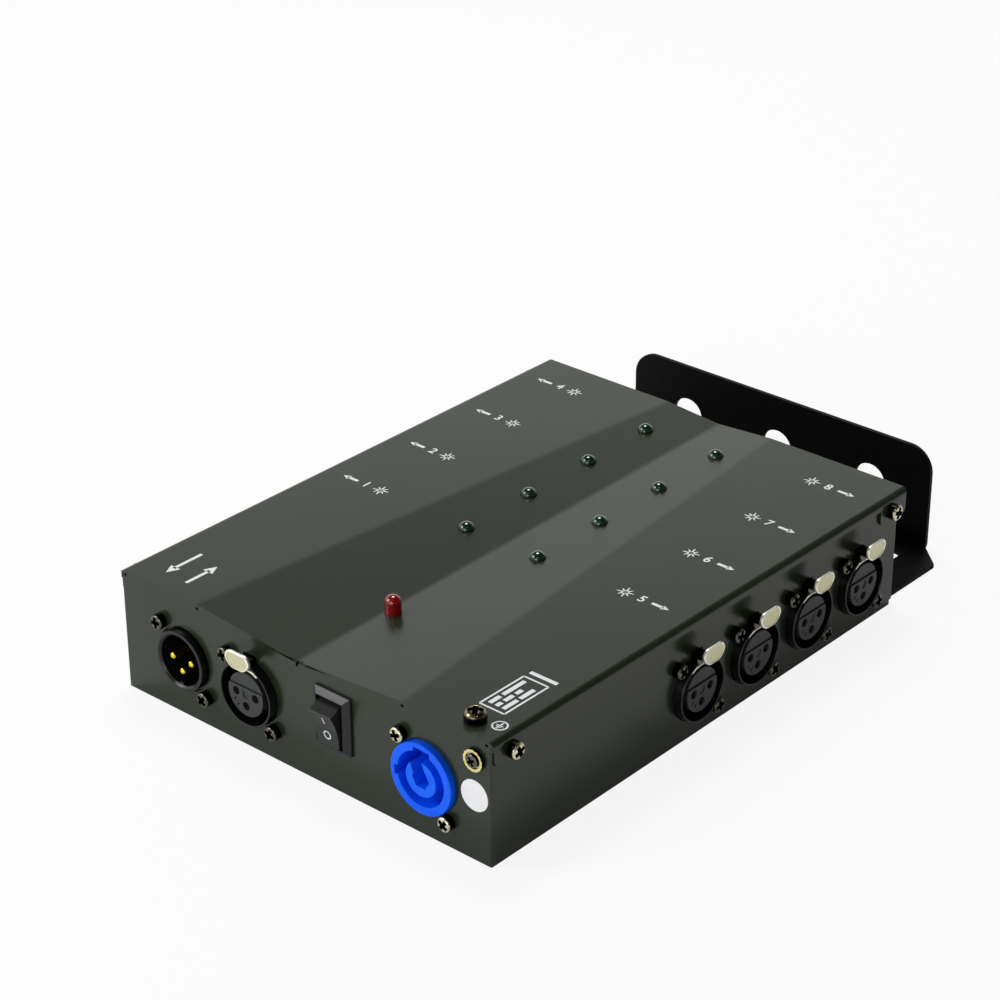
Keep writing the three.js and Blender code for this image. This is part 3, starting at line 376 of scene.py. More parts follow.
satin_nickel = plated("warm_satin_nickel", "#d6d2ac", "#e6e2c0", 0.42, 0.2, 0.2)
# A whiter nickel as a painted highlight: the tab's rolled edge and the latch's catch.
rim_nickel = plated("bright_rim_nickel", "#fbf8e6", "#fffdf0", 0.4, 1.0, 0.1)
gold_plate = plated("gold_plated_brass", "#f0d02c", "#ffe440", 0.2, 1.0, 0.05)
black_nickel = plated("black_nickel_plate", "#55544c", "#78766b", 0.24, 1.0, 0.2, "#0c0c0b")
bright_zinc = plated("bright_passivated_zinc", "#cfc8a4", "#f6efcc", 0.22, 1.0, 0.2, "#14140f")
# Black zinc whose random cream spots are painted glints.
black_zinc_painted_glints = plated("black_zinc_with_painted_glints", "#12110d", "#b8b08a", 0.18, 1.0, 0.2, "#0c0c0a")
# Painted shade: a near-black metal for the faces of each cross recess, standing for the dark inside of the
# recess.
painted_recess_shade = plated("painted_shade_in_a_recess", "#060606", "#0c0c0b", 0.5, 1.0, 0.2)
# The washer's dark flank colour is painted shade, as on the screws.
yellow_brass = plated("bare_yellow_brass", "#f0e28c", "#fbf3b4", 0.34, 1.0, 0.1, "#1a180c")
print("metals ready")

# %% [markdown]
# ## Lamps, ink, paper and board
# A lamp is a light-emitting diode cast in clear tinted epoxy: glossy and dark when it is off. Its colour is
# painted lighter in the middle and darker at the rim, by the angle it is seen at, and the red one gets a
# faint painted glow. The marks are printed ink, a thin matt film, white on the cover and a greener white on
# the switch. The blank label is coated paper.
# Circuit board is glass cloth in epoxy under a green lacquer, and the transformer is wound in
# yellow polyester tape.

# %% Epoxy, ink, paper and board
CLOUD_MM = 2.5
TOOTH_SHARE = 0.05


def tinted_epoxy(name, deep, rim, glow):
    material, tree, shader, spot = start_material(
        name,
        **{"Metallic": 0.0, "Roughness": 0.06, "IOR": 1.54, "Coat Weight": 0.6, "Coat Roughness": 0.03},
    )
    # Painted light: the colour runs from the bright middle colour to the darker rim colour by the viewing
    # angle, broken up by noise.
    facing = add_node(tree, "ShaderNodeLayerWeight", {"Blend": 0.35})
    cloud = add_node(
        tree,
        "ShaderNodeTexNoise",
        {"Vector": spot, "Scale": per_metre(CLOUD_MM), "Detail": 2.0},
    )
    painted_light_by_angle = add_node(
        tree,
        "ShaderNodeMath",
        {0: facing.outputs["Facing"], 1: cloud.outputs["Fac"]},
        operation="MULTIPLY",
    )
    tone = add_node(
        tree,
        "ShaderNodeMix",
        {"Factor": painted_light_by_angle.outputs["Value"], 6: linear(deep), 7: linear(rim)},
        data_type="RGBA",
    )
    tree.links.new(tone.outputs[2], shader.inputs["Base Color"])
    # The emission is a painted glow; the lamps are off.
    shader.inputs["Emission Color"].default_value = linear(deep)
    shader.inputs["Emission Strength"].default_value = glow
    return material


def film(name, dark, light, roughness, grain_mm):
    material, tree, shader, spot = start_material(name, Metallic=0.0, Roughness=roughness)
    grain = add_node(
        tree,
        "ShaderNodeTexNoise",
        {"Vector": spot, "Scale": per_metre(grain_mm), "Detail": 3.0},
    )
    tone = add_node(
        tree,
        "ShaderNodeMix",
        {"Factor": grain.outputs["Fac"], 6: linear(dark), 7: linear(light)},
        data_type="RGBA",
    )
    tooth = add_node(
        tree,
        "ShaderNodeBump",
        {"Strength": 0.1, "Distance": grain_mm * TOOTH_SHARE * MM, "Height": grain.outputs["Fac"]},
    )
    tree.links.new(tone.outputs[2], shader.inputs["Base Color"])
    tree.links.new(tooth.outputs["Normal"], shader.inputs["Normal"])
    return material


# The red lamp gets a faint painted glow, the green ones none.
red_epoxy = tinted_epoxy("clear_red_epoxy", "#8c0008", "#1c0001", 0.04)
green_epoxy = tinted_epoxy("clear_green_epoxy", "#05301a", "#010d05", 0.0)
white_ink = film("white_screen_ink", "#dfe6e6", "#f2f6f6", 0.6, 0.35)
pale_ink = film("pale_pad_printed_ink", "#bcc6bc", "#dce6dc", 0.6, 0.35)
label_paper = film("coated_white_paper", "#ececf0", "#f8f8fa", 0.55, 0.5)
board_lacquer = film("green_board_lacquer", "#174a2a", "#226238", 0.4, 1.2)
coil_tape = film("yellow_polyester_tape", "#a8832f", "#c29a45", 0.45, 2.0)
print("lamps, ink, paper and board ready")

# %% [markdown]
# ## Mesh tools
# Five small tools make nearly every piece. `prism` raises a flat outline, `lathe` turns a
# profile round an axis, `carve` cuts or joins solids with an exact boolean, `soften` rounds the
# sharp edges, as bending and moulding do, and `dress` puts the piece in its place and hands it to
# a body of the mechanical model. A cutter that has a finish of its own leaves it on the faces
# that it cuts. Local axes are right, up and out of the wall, so one mesh serves every wall.

# %% Mesh tools
SMOOTH_ANGLE = math.radians(34)
ROUND_STEPS = 72
WELD_MM = 0.0005


def mesh_from(name, verts, faces):
    mesh = bpy.data.meshes.new(name)
    mesh.from_pydata([Vector(v) * MM for v in verts], [], faces)
    work = bmesh.new()
    work.from_mesh(mesh)
    bmesh.ops.remove_doubles(work, verts=work.verts, dist=MM * WELD_MM)
    bmesh.ops.recalc_face_normals(work, faces=work.faces)
    work.to_mesh(mesh)
    work.free()
    return mesh


def prism(outline, low, high):
    count = len(outline)
    verts = [(x, y, low) for x, y in outline] + [(x, y, high) for x, y in outline]
    faces = [tuple(range(count - 1, -1, -1)), tuple(range(count, 2 * count))]
    for i in range(count):
        j = (i + 1) % count
        faces.append((i, j, j + count, i + count))
    return mesh_from("prism", verts, faces)


def rectangle(x0, x1, y0, y1):
    return [(x0, y0), (x1, y0), (x1, y1), (x0, y1)]


def rounded_rectangle(half_wide, half_tall, radius, steps=8):
    points = []
    for quarter, (sx, sy) in enumerate(((1, -1), (1, 1), (-1, 1), (-1, -1))):
        for i in range(steps + 1):
            angle = QUARTER_TURN * (quarter - 1 + i / steps)
            x = sx * (half_wide - radius) + radius * math.cos(angle)
            y = sy * (half_tall - radius) + radius * math.sin(angle)
            points.append((x, y))
    return points


def circle(radius, steps=ROUND_STEPS, x=0.0, y=0.0):
    angles = [FULL_TURN * i / steps for i in range(steps)]
    return [(x + radius * math.cos(a), y + radius * math.sin(a)) for a in angles]


def lathe(profile, steps=ROUND_STEPS):
    verts, faces, rings = [], [], []
    for radius, height in profile:
        if radius == 0:
            rings.append([len(verts)] * steps)
            verts.append((0, 0, height))
        else:
            rings.append(list(range(len(verts), len(verts) + steps)))
            verts += [(x, y, height) for x, y in circle(radius, steps)]
    for k, ring in enumerate(rings):
        after = rings[(k + 1) % len(rings)]
        if ring[0] == ring[1] and after[0] == after[1]:
            continue
        for i in range(steps):
            j = (i + 1) % steps
            corners = [ring[i], ring[j], after[j], after[i]]
            faces.append(tuple(dict.fromkeys(corners)))
    return mesh_from("lathe", verts, faces)


def moved(mesh, matrix):
    copy = mesh.copy()
    copy.transform(matrix)
    if matrix.to_3x3().determinant() < 0:
        copy.flip_normals()
    return copy


def shift(x=0.0, y=0.0, z=0.0):
    return Matrix.Translation(Vector((x, y, z)) * MM)


def evaluated(holder):
    graph = bpy.context.evaluated_depsgraph_get()
    return bpy.data.meshes.new_from_object(holder.evaluated_get(graph))


def carve(mesh, tools, operation="DIFFERENCE"):
    holder = bpy.data.objects.new("carve", mesh)
    scene.collection.objects.link(holder)
    helpers = []
    for tool in tools:
        helper = bpy.data.objects.new("tool", tool)
        scene.collection.objects.link(helper)
        cut = holder.modifiers.new("cut", "BOOLEAN")
        cut.operation = operation
        cut.solver = "EXACT"
        if tool.materials:
            cut.material_mode = "TRANSFER"
        cut.object = helper
        helpers.append(helper)
    result = evaluated(holder)
    for extra in [*helpers, holder]:
        bpy.data.objects.remove(extra)
    return result


def soften(mesh, width_mm, segments=2, limit=SMOOTH_ANGLE):
    holder = bpy.data.objects.new("soften", mesh)
    scene.collection.objects.link(holder)
    if width_mm:
        bevel = holder.modifiers.new("bevel", "BEVEL")
        bevel.width = width_mm * MM
        bevel.segments = segments
        bevel.limit_method = "ANGLE"
        bevel.angle_limit = limit
        bevel.miter_outer = "MITER_ARC"
        bevel.use_clamp_overlap = True
    result = evaluated(holder)
    bpy.data.objects.remove(holder)
    result.shade_smooth()
    result.set_sharp_from_angle(angle=SMOOTH_ANGLE)
    return result


def dress(name, mesh, material, place, body="box", replaces=()):
    piece = bpy.data.objects.new(name, mesh)
    scene.collection.objects.link(piece)
    piece.matrix_world = place
    if not mesh.materials:
        mesh.materials.append(material)
    weighted = piece.modifiers.new("flat faces stay flat", "WEIGHTED_NORMAL")
    weighted.keep_sharp = True
    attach(piece, body)
    if replaces:
        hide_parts(*replaces)
    return piece


def wall_place(right, up, out, at_mm):
    turn = Matrix((right, up, out)).transposed().to_4x4()
    return Matrix.Translation(Vector(at_mm) * MM) @ turn


X, Y, Z = Vector((1, 0, 0)), Vector((0, 1, 0)), Vector((0, 0, 1))


def on_front(x, z):
    return wall_place(X, Z, -Y, (x, front_y, z))


def on_right(y, z):
    return wall_place(Y, Z, X, (side_x, y, z))


def on_left(y, z):
    return wall_place(-Y, Z, -X, (-side_x, y, z))


def middle(node, axis):
    low, high = span_mm(node)
    return (low[axis] + high[axis]) * HALF


print("mesh tools ready")

# %% [markdown]
# ## The walls
# Front, back and sides are one strip of 1.2 mm steel, folded into a ring and flanged at top and
# bottom. It could be four plates, but then the corners would be open, so it is a ring cut from a
# rounded prism. Its bend is drawn tighter than such sheet is folded, because the corners look
# crisp in the photograph. The connector holes would be punched in the flat blank; here they are
# cut last. The flanges follow the trough of the cover at the front and the back.

# %% Where the sockets are
SOCKETS = ["link"] + [f"{side}_{i}" for side in ("right", "left") for i in range(1, 5)]


def socket_place(name):
    node = f"socket_{name}_shell"
    if name == "link":
        return on_front(middle(node, 0), middle(node, 2))
    if name.startswith("right"):
        return on_right(middle(node, 1), middle(node, 2))
    return on_left(middle(node, 1), middle(node, 2))


socket_places = {name: socket_place(name) for name in SOCKETS}
plug_place = on_front(middle("plug_shell", 0), middle("plug_shell", 2))
inlet_place = on_front(middle("inlet_housing", 0), middle("inlet_housing", 2))
switch_place = on_front(middle("switch_body", 0), middle("switch_body", 2))
print("places", len(socket_places) + 3)

# %% The walls
WALL_SHEET = 1.2
COVER_SHEET = 0.9
BASE_SHEET = 1.6
WALL_BEND = 0.6
TOP_FLANGE = 8.0
BOTTOM_FLANGE = 10.0
RELIEF = 1.1
RELIEF_DEEP = 1.0
TROUGH_DROP = 3.3
FOLD_FRONT = 44.5
FOLD_BACK = 23.2
GAP = 0.3
THROUGH = 4.0
WALL_SOFT = 0.25
RIM_OUT = 11.4
PLUG_HOLE = 11.6
INLET_OUT = 12.4
LATCH_NOTCH_HALF = 2.9
LATCH_NOTCH_HIGH = 13.8
SWITCH_CUT_HALF_X = 6.9
SWITCH_CUT_HALF_Y = 9.6

wall_top = top_z - COVER_SHEET
box_deep = back_y - front_y
cover_deep = cover_high[1] - cover_low[1]
centre_y = (front_y + back_y) * HALF
inner_x = side_x - WALL_SHEET
end_relief_x = inner_x - RELIEF * HALF


def fold_half(y):
    return FOLD_FRONT - (FOLD_FRONT - FOLD_BACK) * (y - front_y) / cover_deep


def valley_drop(y):
    return TROUGH_DROP * fold_half(y) / FOLD_FRONT


def drop_at(x, y):
    return valley_drop(y) * max(0.0, 1 - abs(x) / fold_half(y))


def trough_tool(y0, y1, at):
    fold = fold_half(at)
    points = [(-fold, wall_top + THROUGH), (-fold, wall_top), (0, wall_top - valley_drop(at))]
    points += [(fold, wall_top), (fold, wall_top + THROUGH)]
    return moved(prism(points, 0, y1 - y0), wall_place(X, Z, -Y, (0, y1, 0)))


def cube(x0, x1, y0, y1, z0, z1):
    return prism(rectangle(x0, x1, y0, y1), z0, z1)


def side_flanges():
    extra = []
    bite = WALL_SHEET * HALF
    for side in (-1, 1):
        for flange, low in ((TOP_FLANGE, wall_top - WALL_SHEET), (BOTTOM_FLANGE, BASE_SHEET)):
            near, far = sorted((side * (inner_x - flange), side * (inner_x + bite)))
            inset = WALL_SHEET + flange + RELIEF
            extra.append(cube(near, far, front_y + inset, back_y - inset, low, low + WALL_SHEET))
    low_x = inner_x - RELIEF
    for y0, y1 in (
        (front_y + bite, front_y + WALL_SHEET + BOTTOM_FLANGE),
        (back_y - WALL_SHEET - BOTTOM_FLANGE, back_y - bite),
    ):
        extra.append(cube(-low_x, low_x, y0, y1, BASE_SHEET, BASE_SHEET + WALL_SHEET))
    return extra


def end_flanges(at, y0, y1):
    flanges = []
    fold = fold_half(at)
    slope = valley_drop(at) / fold
    for side in (-1, 1):
        x0, x1 = sorted((side * (fold + RELIEF * HALF), side * (inner_x - RELIEF)))
        flanges.append(cube(x0, x1, y0, y1, wall_top - WALL_SHEET, wall_top))
        near, far = RELIEF * HALF, fold - RELIEF * HALF
        level = wall_top - valley_drop(at) - GAP * HALF
        z_near, z_far = level + slope * near, level + slope * far
        points = [(near, z_near), (far, z_far), (far, z_far - WALL_SHEET), (near, z_near - WALL_SHEET)]
        points = [(side * x, z) for x, z in points]
        flanges.append(moved(prism(points, 0, y1 - y0), wall_place(X, Z, -Y, (0, y1, 0))))
    return flanges


def end_notches(at):
    notches = []
    fold = fold_half(at)
    for x in (-end_relief_x, -fold, 0, fold, end_relief_x):
        top = wall_top - (valley_drop(at) if x == 0 else 0)
        x0, x1 = x - RELIEF * HALF, x + RELIEF * HALF
        notches.append(cube(x0, x1, at - THROUGH, at + THROUGH, top - RELIEF_DEEP, top + THROUGH))
    return notches


def walls_mesh():
    outer = prism(rounded_rectangle(side_x, box_deep * HALF, WALL_BEND), wall_low[2], wall_top)
    inner_plan = rounded_rectangle(inner_x, box_deep * HALF - WALL_SHEET, GAP)
    inner = prism(inner_plan, wall_low[2] - THROUGH, wall_top + THROUGH)
    ring = carve(moved(outer, shift(y=centre_y)), [moved(inner, shift(y=centre_y))])
    ring = carve(ring, side_flanges(), "UNION")
    base_gap = cube(-side_x, side_x, back_y - WALL_SHEET - GAP, back_y + THROUGH, -THROUGH, BASE_SHEET + GAP)
    tools = [
        trough_tool(front_y - THROUGH, front_y + THROUGH, front_y),
        trough_tool(back_y - THROUGH, back_y + THROUGH, back_y),
        base_gap,
    ]
    ring = carve(ring, tools)
    bite = WALL_SHEET * HALF
    flanges = end_flanges(front_y, front_y + bite, front_y + WALL_SHEET + TOP_FLANGE)
    flanges += end_flanges(back_y, back_y - WALL_SHEET - TOP_FLANGE, back_y - bite)
    ring = carve(ring, flanges, "UNION")
    holes = end_notches(front_y) + end_notches(back_y)
    notch = cube(-LATCH_NOTCH_HALF, LATCH_NOTCH_HALF, 0, LATCH_NOTCH_HIGH, -THROUGH, THROUGH)
    for place in socket_places.values():
        holes.append(moved(prism(circle(RIM_OUT + GAP), -THROUGH, THROUGH), place))
        holes.append(moved(notch, place))
    holes.append(moved(prism(circle(PLUG_HOLE), -THROUGH, THROUGH), plug_place))
    holes.append(moved(prism(circle(INLET_OUT + GAP), -THROUGH, THROUGH), inlet_place))
    switch_cut = prism(rounded_rectangle(SWITCH_CUT_HALF_X, SWITCH_CUT_HALF_Y, GAP), -THROUGH, THROUGH)
    holes.append(moved(switch_cut, switch_place))
    return carve(ring, holes)


walls = dress(
    "steel_walls",
    soften(walls_mesh(), WALL_SOFT, 2),
    powder_satin,
    Matrix.Identity(4),
    replaces=["chassis_walls"],
)
print("walls", len(walls.data.polygons), "faces")

# %% [markdown]
# ## The cover
# The lid is 0.9 mm steel with a trough pressed into it: two folds run together to the back and a
# valley lies between them, so the trough gets narrower and shallower at once. A grid of columns
# that converge gives exactly that sheet. At each fold a few close columns round the crease over
# two millimetres, which is what lets it catch light as a soft line. The long edges have a wide
# bend, which draws a dark line along the box. Ears fold down at the ends.

# %% The cover
CREASE = 1.2
CREASE_STEPS = 4
COVER_BEND = 2.2
COVER_BEND_STEPS = 8
COVER_LIP = 3.2
COVER_CORNER = 1.0
COVER_SOFT = 0.2
EAR_LONG = 15.0
EAR_CORNER = 2.2
EAR_FRONT_INSET = 0.9
EAR_REAR_INSET = 0.6
CORNER_SHARE = 1 - math.cos(QUARTER_TURN * HALF)
LAMP_R = 2.75
LAMP_HOLE = LAMP_R + GAP * HALF
HOLE_STEPS = 48
edge_x = cover_high[0]
LAMPS = ["lamp_power"] + [f"lamp_{side}_{i}" for side in ("right", "left") for i in range(1, 5)]


def creased_drop(x, y):
    fold = fold_half(y)
    slope = valley_drop(y) / fold
    inward = fold - abs(x)
    if abs(x) < CREASE:
        return slope * (fold - (x * x + CREASE * CREASE) / (2 * CREASE))
    if abs(inward) < CREASE:
        return slope * (inward + CREASE) ** 2 / (4 * CREASE)
    return slope * max(0.0, inward)


def cover_section(y, skin):
    fold = fold_half(y)
    steps = [CREASE * k / CREASE_STEPS for k in range(-CREASE_STEPS, CREASE_STEPS + 1)]
    columns = [0.0] + [k for k in steps if k > 0] + [fold + k for k in steps]
    half_row = [(x, top_z - skin - creased_drop(x, y)) for x in columns]
    for i in range(COVER_BEND_STEPS + 1):
        angle = QUARTER_TURN * i / COVER_BEND_STEPS
        radius = COVER_BEND - skin
        x = edge_x - COVER_BEND + radius * math.sin(angle)
        half_row.append((x, top_z - COVER_BEND + radius * math.cos(angle)))
    half_row.append((edge_x - skin, top_z - COVER_LIP))
    return [(-x, z) for x, z in reversed(half_row[1:])] + half_row


def cover_sheet():
    verts, faces = [], []
    for skin in (0.0, COVER_SHEET):
        for y in (front_y, cover_high[1]):
            verts += [(x, y, z) for x, z in cover_section(y, skin)]
    across = len(cover_section(front_y, 0.0))
    lower = 2 * across
    for i in range(across - 1):
        faces.append((i, i + 1, i + 1 + across, i + across))
        faces.append((lower + i, lower + i + across, lower + i + 1 + across, lower + i + 1))
        faces.append((i, lower + i, lower + i + 1, i + 1))
        faces.append((i + across, i + 1 + across, lower + i + 1 + across, lower + i + across))
    for i in (0, across - 1):
        faces.append((i, i + across, lower + i + across, lower + i))
    return mesh_from("cover", verts, faces)


def ear(y0, y1, x0, x1):
    low = cover_low[2]
    high = top_z - COVER_BEND
    near = EAR_CORNER * CORNER_SHARE
    points = [
        (y0, high),
        (y0, low + EAR_CORNER),
        (y0 + near, low + near),
        (y0 + EAR_CORNER, low),
        (y1 - EAR_CORNER, low),
        (y1 - near, low + near),
        (y1, low + EAR_CORNER),
        (y1, high),
    ]
    return moved(prism(points, 0, x1 - x0), wall_place(Y, Z, X, (x0, 0, 0)))


def cover_mesh():
    sheet = cover_sheet()
    plan = prism(rounded_rectangle(edge_x, cover_deep * HALF, COVER_CORNER), 0, top_z + THROUGH)
    sheet = carve(sheet, [moved(plan, shift(y=front_y + cover_deep * HALF))], "INTERSECT")
    ears, tools = [], []
    for x0, x1 in ((-edge_x, -side_x), (side_x, edge_x)):
        ears.append(ear(front_y + EAR_FRONT_INSET, front_y + EAR_FRONT_INSET + EAR_LONG, x0, x1))
        rear = cover_high[1] - EAR_REAR_INSET
        ears.append(ear(rear - EAR_LONG, rear, x0, x1))
    sheet = carve(sheet, ears, "UNION")
    low, high = top_z - COVER_LIP - THROUGH, top_z - COVER_BEND
    for y0, y1 in (
        (front_y - THROUGH, front_y + EAR_FRONT_INSET),
        (cover_high[1] - EAR_REAR_INSET, cover_high[1] + THROUGH),
    ):
        tools.append(cube(-edge_x - THROUGH, edge_x + THROUGH, y0, y1, low, high - COVER_SHEET))
    for lamp in LAMPS:
        hole = prism(circle(LAMP_HOLE, HOLE_STEPS), top_z - 2 * THROUGH, top_z + THROUGH)
        tools.append(moved(hole, shift(middle(lamp, 0), middle(lamp, 1))))
    return carve(sheet, tools)


cover = dress(
    "steel_cover",
    soften(cover_mesh(), COVER_SOFT, 2),
    powder_satin,
    Matrix.Identity(4),
    replaces=["top_cover"],
)
print("cover", len(cover.data.polygons), "faces")

# %% [markdown]
# ## The base plate and its hanging bracket
# One 1.6 mm sheet closes the box from below, runs on behind it and turns up into a bracket with
# three round holes for clamp bolts. It is drawn as the side view of that bent sheet, stretched
# across, and then trimmed: clipped corners at the fold, a window at its foot, rounded top
# corners. Six flat screws hold the plate from below.

# %% The base plate and its hanging bracket
BRACKET_HALF_X = 67.2
BEND = 0.3
BEND_STEPS = 6
CLIP = 9.4
BRACKET_CORNER = 9.5
CORNER_STEPS = 12
HANG_HOLE = 6.5
HANG_PITCH = 41.6
HANG_Z = 19.5
WINDOW_HALF_X = 64.2
WINDOW_FROM_BACK = 11.7
WINDOW_DEEP = 20.0
WINDOW_CORNER = 3.0
BASE_SOFT = 0.25
BASE_SCREW_X = 73.6
BASE_SCREW_IN = (22.0, 105.5, 196.0)
BASE_SCREW_HEAD = 3.0
BASE_SCREW_SINK = 1.0


def side_view(y_front, y_back, height):
    outer = BASE_SHEET + BEND
    points = [(y_front, 0.0), (y_back - outer, 0.0)]
    for i in range(1, BEND_STEPS + 1):
        angle = QUARTER_TURN * i / BEND_STEPS
        points.append((y_back - outer + outer * math.sin(angle), outer - outer * math.cos(angle)))
    points += [(y_back, height), (y_back - BASE_SHEET, height)]
    for i in range(BEND_STEPS, -1, -1):
        angle = QUARTER_TURN * i / BEND_STEPS
        points.append((y_back - outer + BEND * math.sin(angle), outer - BEND * math.cos(angle)))
    points.append((y_front, BASE_SHEET))
    return points


def corner_tools(side, half_x, y_back):
    fold_y = y_back - BASE_SHEET - BEND
    far_x = side * (half_x + THROUGH)
    clip = [
        (side * BRACKET_HALF_X, y_back + THROUGH),
        (side * BRACKET_HALF_X, fold_y),
        (side * half_x, fold_y - CLIP),
        (far_x, fold_y - CLIP),
        (far_x, y_back + THROUGH),
    ]
    corner_x = BRACKET_HALF_X - BRACKET_CORNER
    corner_z = base_high[2] - BRACKET_CORNER
    cap = [(side * corner_x, base_high[2] + THROUGH)]
    for i in range(CORNER_STEPS + 1):
        angle = QUARTER_TURN * (1 - i / CORNER_STEPS)
        x = corner_x + BRACKET_CORNER * math.cos(angle)
        cap.append((side * x, corner_z + BRACKET_CORNER * math.sin(angle)))
    cap.append((far_x, corner_z))
    cap.append((far_x, base_high[2] + THROUGH))
    through = 2 * THROUGH
    upright = wall_place(X, Z, -Y, (0, y_back + THROUGH, 0))
    return [prism(clip, -THROUGH, base_high[2] + THROUGH), moved(prism(cap, 0, through), upright)]


def base_mesh():
    half_x = base_high[0]
    y_back = base_high[1]
    points = side_view(base_low[1], y_back, base_high[2])
    piece = moved(prism(points, 0, 2 * half_x), wall_place(Y, Z, X, (-half_x, 0, 0)))
    tools = corner_tools(-1, half_x, y_back) + corner_tools(1, half_x, y_back)
    for x in (-HANG_PITCH, 0, HANG_PITCH):
        hole = prism(circle(HANG_HOLE), 0, 2 * THROUGH)
        tools.append(moved(hole, wall_place(X, Z, -Y, (x, y_back + THROUGH, HANG_Z))))
    window = prism(rounded_rectangle(WINDOW_HALF_X, WINDOW_DEEP * HALF, WINDOW_CORNER), -THROUGH, THROUGH)
    tools.append(moved(window, shift(y=y_back - WINDOW_FROM_BACK - WINDOW_DEEP * HALF)))
    for x in (-BASE_SCREW_X, BASE_SCREW_X):
        for y in BASE_SCREW_IN:
            sink = circle(BASE_SCREW_HEAD + GAP, HOLE_STEPS, x, front_y + y)
            tools.append(prism(sink, -THROUGH, BASE_SCREW_SINK))
    return carve(piece, tools)


# The base plate and bracket take the coat with painted shade.
base = dress(
    "base_plate_and_bracket",
    soften(base_mesh(), BASE_SOFT, 2),
    powder_coat_painted_shade,
    Matrix.Identity(4),
    replaces=["base_bracket"],
)
print("base", len(base.data.polygons), "faces")

# %% [markdown]
# ## Screws
# The connectors, the cover and the earth point are held by pan-head screws with a cross recess: an upright
# side, a well rounded shoulder and a nearly flat face. The shoulder is what lights up as a ring. The recess
# is not a plain cross: its arms narrow towards the bottom. Its faces get a near-black finish of their own
# from the cutter, which is painted shade for the dark inside of the recess.
# The cover's screw has a rounder head. Each is turned by its own amount, since nobody lines
# them up.

# %% Screws
CABLE_SCREW = {"head": 2.65, "tall": 2.9, "slot": 1.35, "arm": 3.9, "sunk": 1.7, "shank": 2.0}
EAR_SCREW = {"head": 2.9, "tall": 3.0, "slot": 1.5, "arm": 4.2, "sunk": 1.9, "shank": 4.0}
COVER_SCREW = {"head": 3.65, "tall": 3.8, "slot": 1.7, "arm": 5.2, "sunk": 2.4, "shank": 5.0}
EARTH_SCREW = {"head": 2.3, "tall": 1.7, "slot": 1.0, "arm": 3.2, "sunk": 1.1, "shank": 4.0}
BASE_SCREW = {"head": 3.0, "tall": 0.55, "slot": 0.95, "arm": 3.4, "sunk": 0.5, "shank": 0.7}
SCREW_STEPS = 48
SCREW_SOFT = 0.06
SHANK_SHARE = 0.5
RECESS_TOP = 1.1
RECESS_FOOT = 0.62

# Shares of the head's radius and height, from the rim of the seat to the middle of the face
PAN_HEAD = (
    (0.97, 0.0),
    (1.0, 0.04),
    (1.0, 0.62),
    (0.985, 0.73),
    (0.94, 0.83),
    (0.86, 0.91),
    (0.74, 0.96),
    (0.5, 0.99),
    (0.0, 1.0),
)
ROUND_HEAD = (
    (0.94, 0.0),
    (1.0, 0.15),
    (1.0, 0.4),
    (0.97, 0.56),
    (0.89, 0.71),
    (0.76, 0.84),
    (0.58, 0.93),
    (0.32, 0.985),
    (0.0, 1.0),
)
SUNK_HEAD = ((SHANK_SHARE, 0.0), (1.0, 0.6), (1.0, 1.0), (0.0, 1.0))


def cross_recess(screw):
    tools = []
    for turn_by in (0, QUARTER_TURN):
        verts = []
        for z, share in ((screw["tall"] + GAP, RECESS_TOP), (screw["tall"] - screw["sunk"], RECESS_FOOT)):
            w, r = screw["slot"] * HALF * share, screw["arm"] * HALF * share
            verts += [(-r, -w, z), (r, -w, z), (r, w, z), (-r, w, z)]
        faces = [(0, 1, 2, 3), (7, 6, 5, 4)]
        faces += [(i, i + 4, (i + 1) % 4 + 4, (i + 1) % 4) for i in range(4)]
        arm = mesh_from("arm", verts, faces)
        tools.append(moved(arm, Matrix.Rotation(turn_by, 4, "Z")))
    return tools


def coated(mesh, material):
    copy = mesh.copy()
    copy.materials.clear()
    copy.materials.append(material)
    return copy


def screw_mesh(screw, material, shape=PAN_HEAD):
    shank = screw["head"] * SHANK_SHARE
    profile = [(0.0, -screw["shank"]), (shank, -screw["shank"]), (shank, 0.0)]
    profile += [(screw["head"] * r, screw["tall"] * z) for r, z in shape]
    head = coated(lathe(profile, SCREW_STEPS), material)
    # The recess faces take the painted shade finish.
    recess = [coated(tool, painted_recess_shade) for tool in cross_recess(screw)]
    return soften(carve(head, recess), SCREW_SOFT, 1)


def spin(matrix, degrees, x=0.0, y=0.0, z=0.0):
    return matrix @ shift(x, y, z) @ Matrix.Rotation(math.radians(degrees), 4, "Z")


black_screw = screw_mesh(CABLE_SCREW, black_nickel)
bright_screw = screw_mesh(CABLE_SCREW, bright_zinc)
ear_screw = screw_mesh(EAR_SCREW, bright_zinc)
EAR_SCREW_TURNS = {"right_front": 24, "right_rear": 70, "left_front": 12, "left_rear": 51}
for where, degrees in EAR_SCREW_TURNS.items():
    node = f"ear_screw_{where}"
    wall = on_right if where.startswith("right") else on_left
    place = spin(wall(middle(node, 1), middle(node, 2)), degrees, z=edge_x - side_x)
    dress(node + "_zinc", ear_screw, bright_zinc, place, replaces=[node])
COVER_SCREW_TURN = 37
cover_screw_at = Vector((middle("cover_screw", 0), middle("cover_screw", 1), top_z)) * MM
dress(
    "cover_screw_zinc",
    screw_mesh(COVER_SCREW, black_zinc_painted_glints, ROUND_HEAD),
    black_zinc_painted_glints,
    spin(Matrix.Translation(cover_screw_at), COVER_SCREW_TURN),
    replaces=["cover_screw"],
)
BASE_SCREW_LEVEL = 0.65
BASE_SCREW_TURN = 31
flat_screw = screw_mesh(BASE_SCREW, black_nickel, SUNK_HEAD)
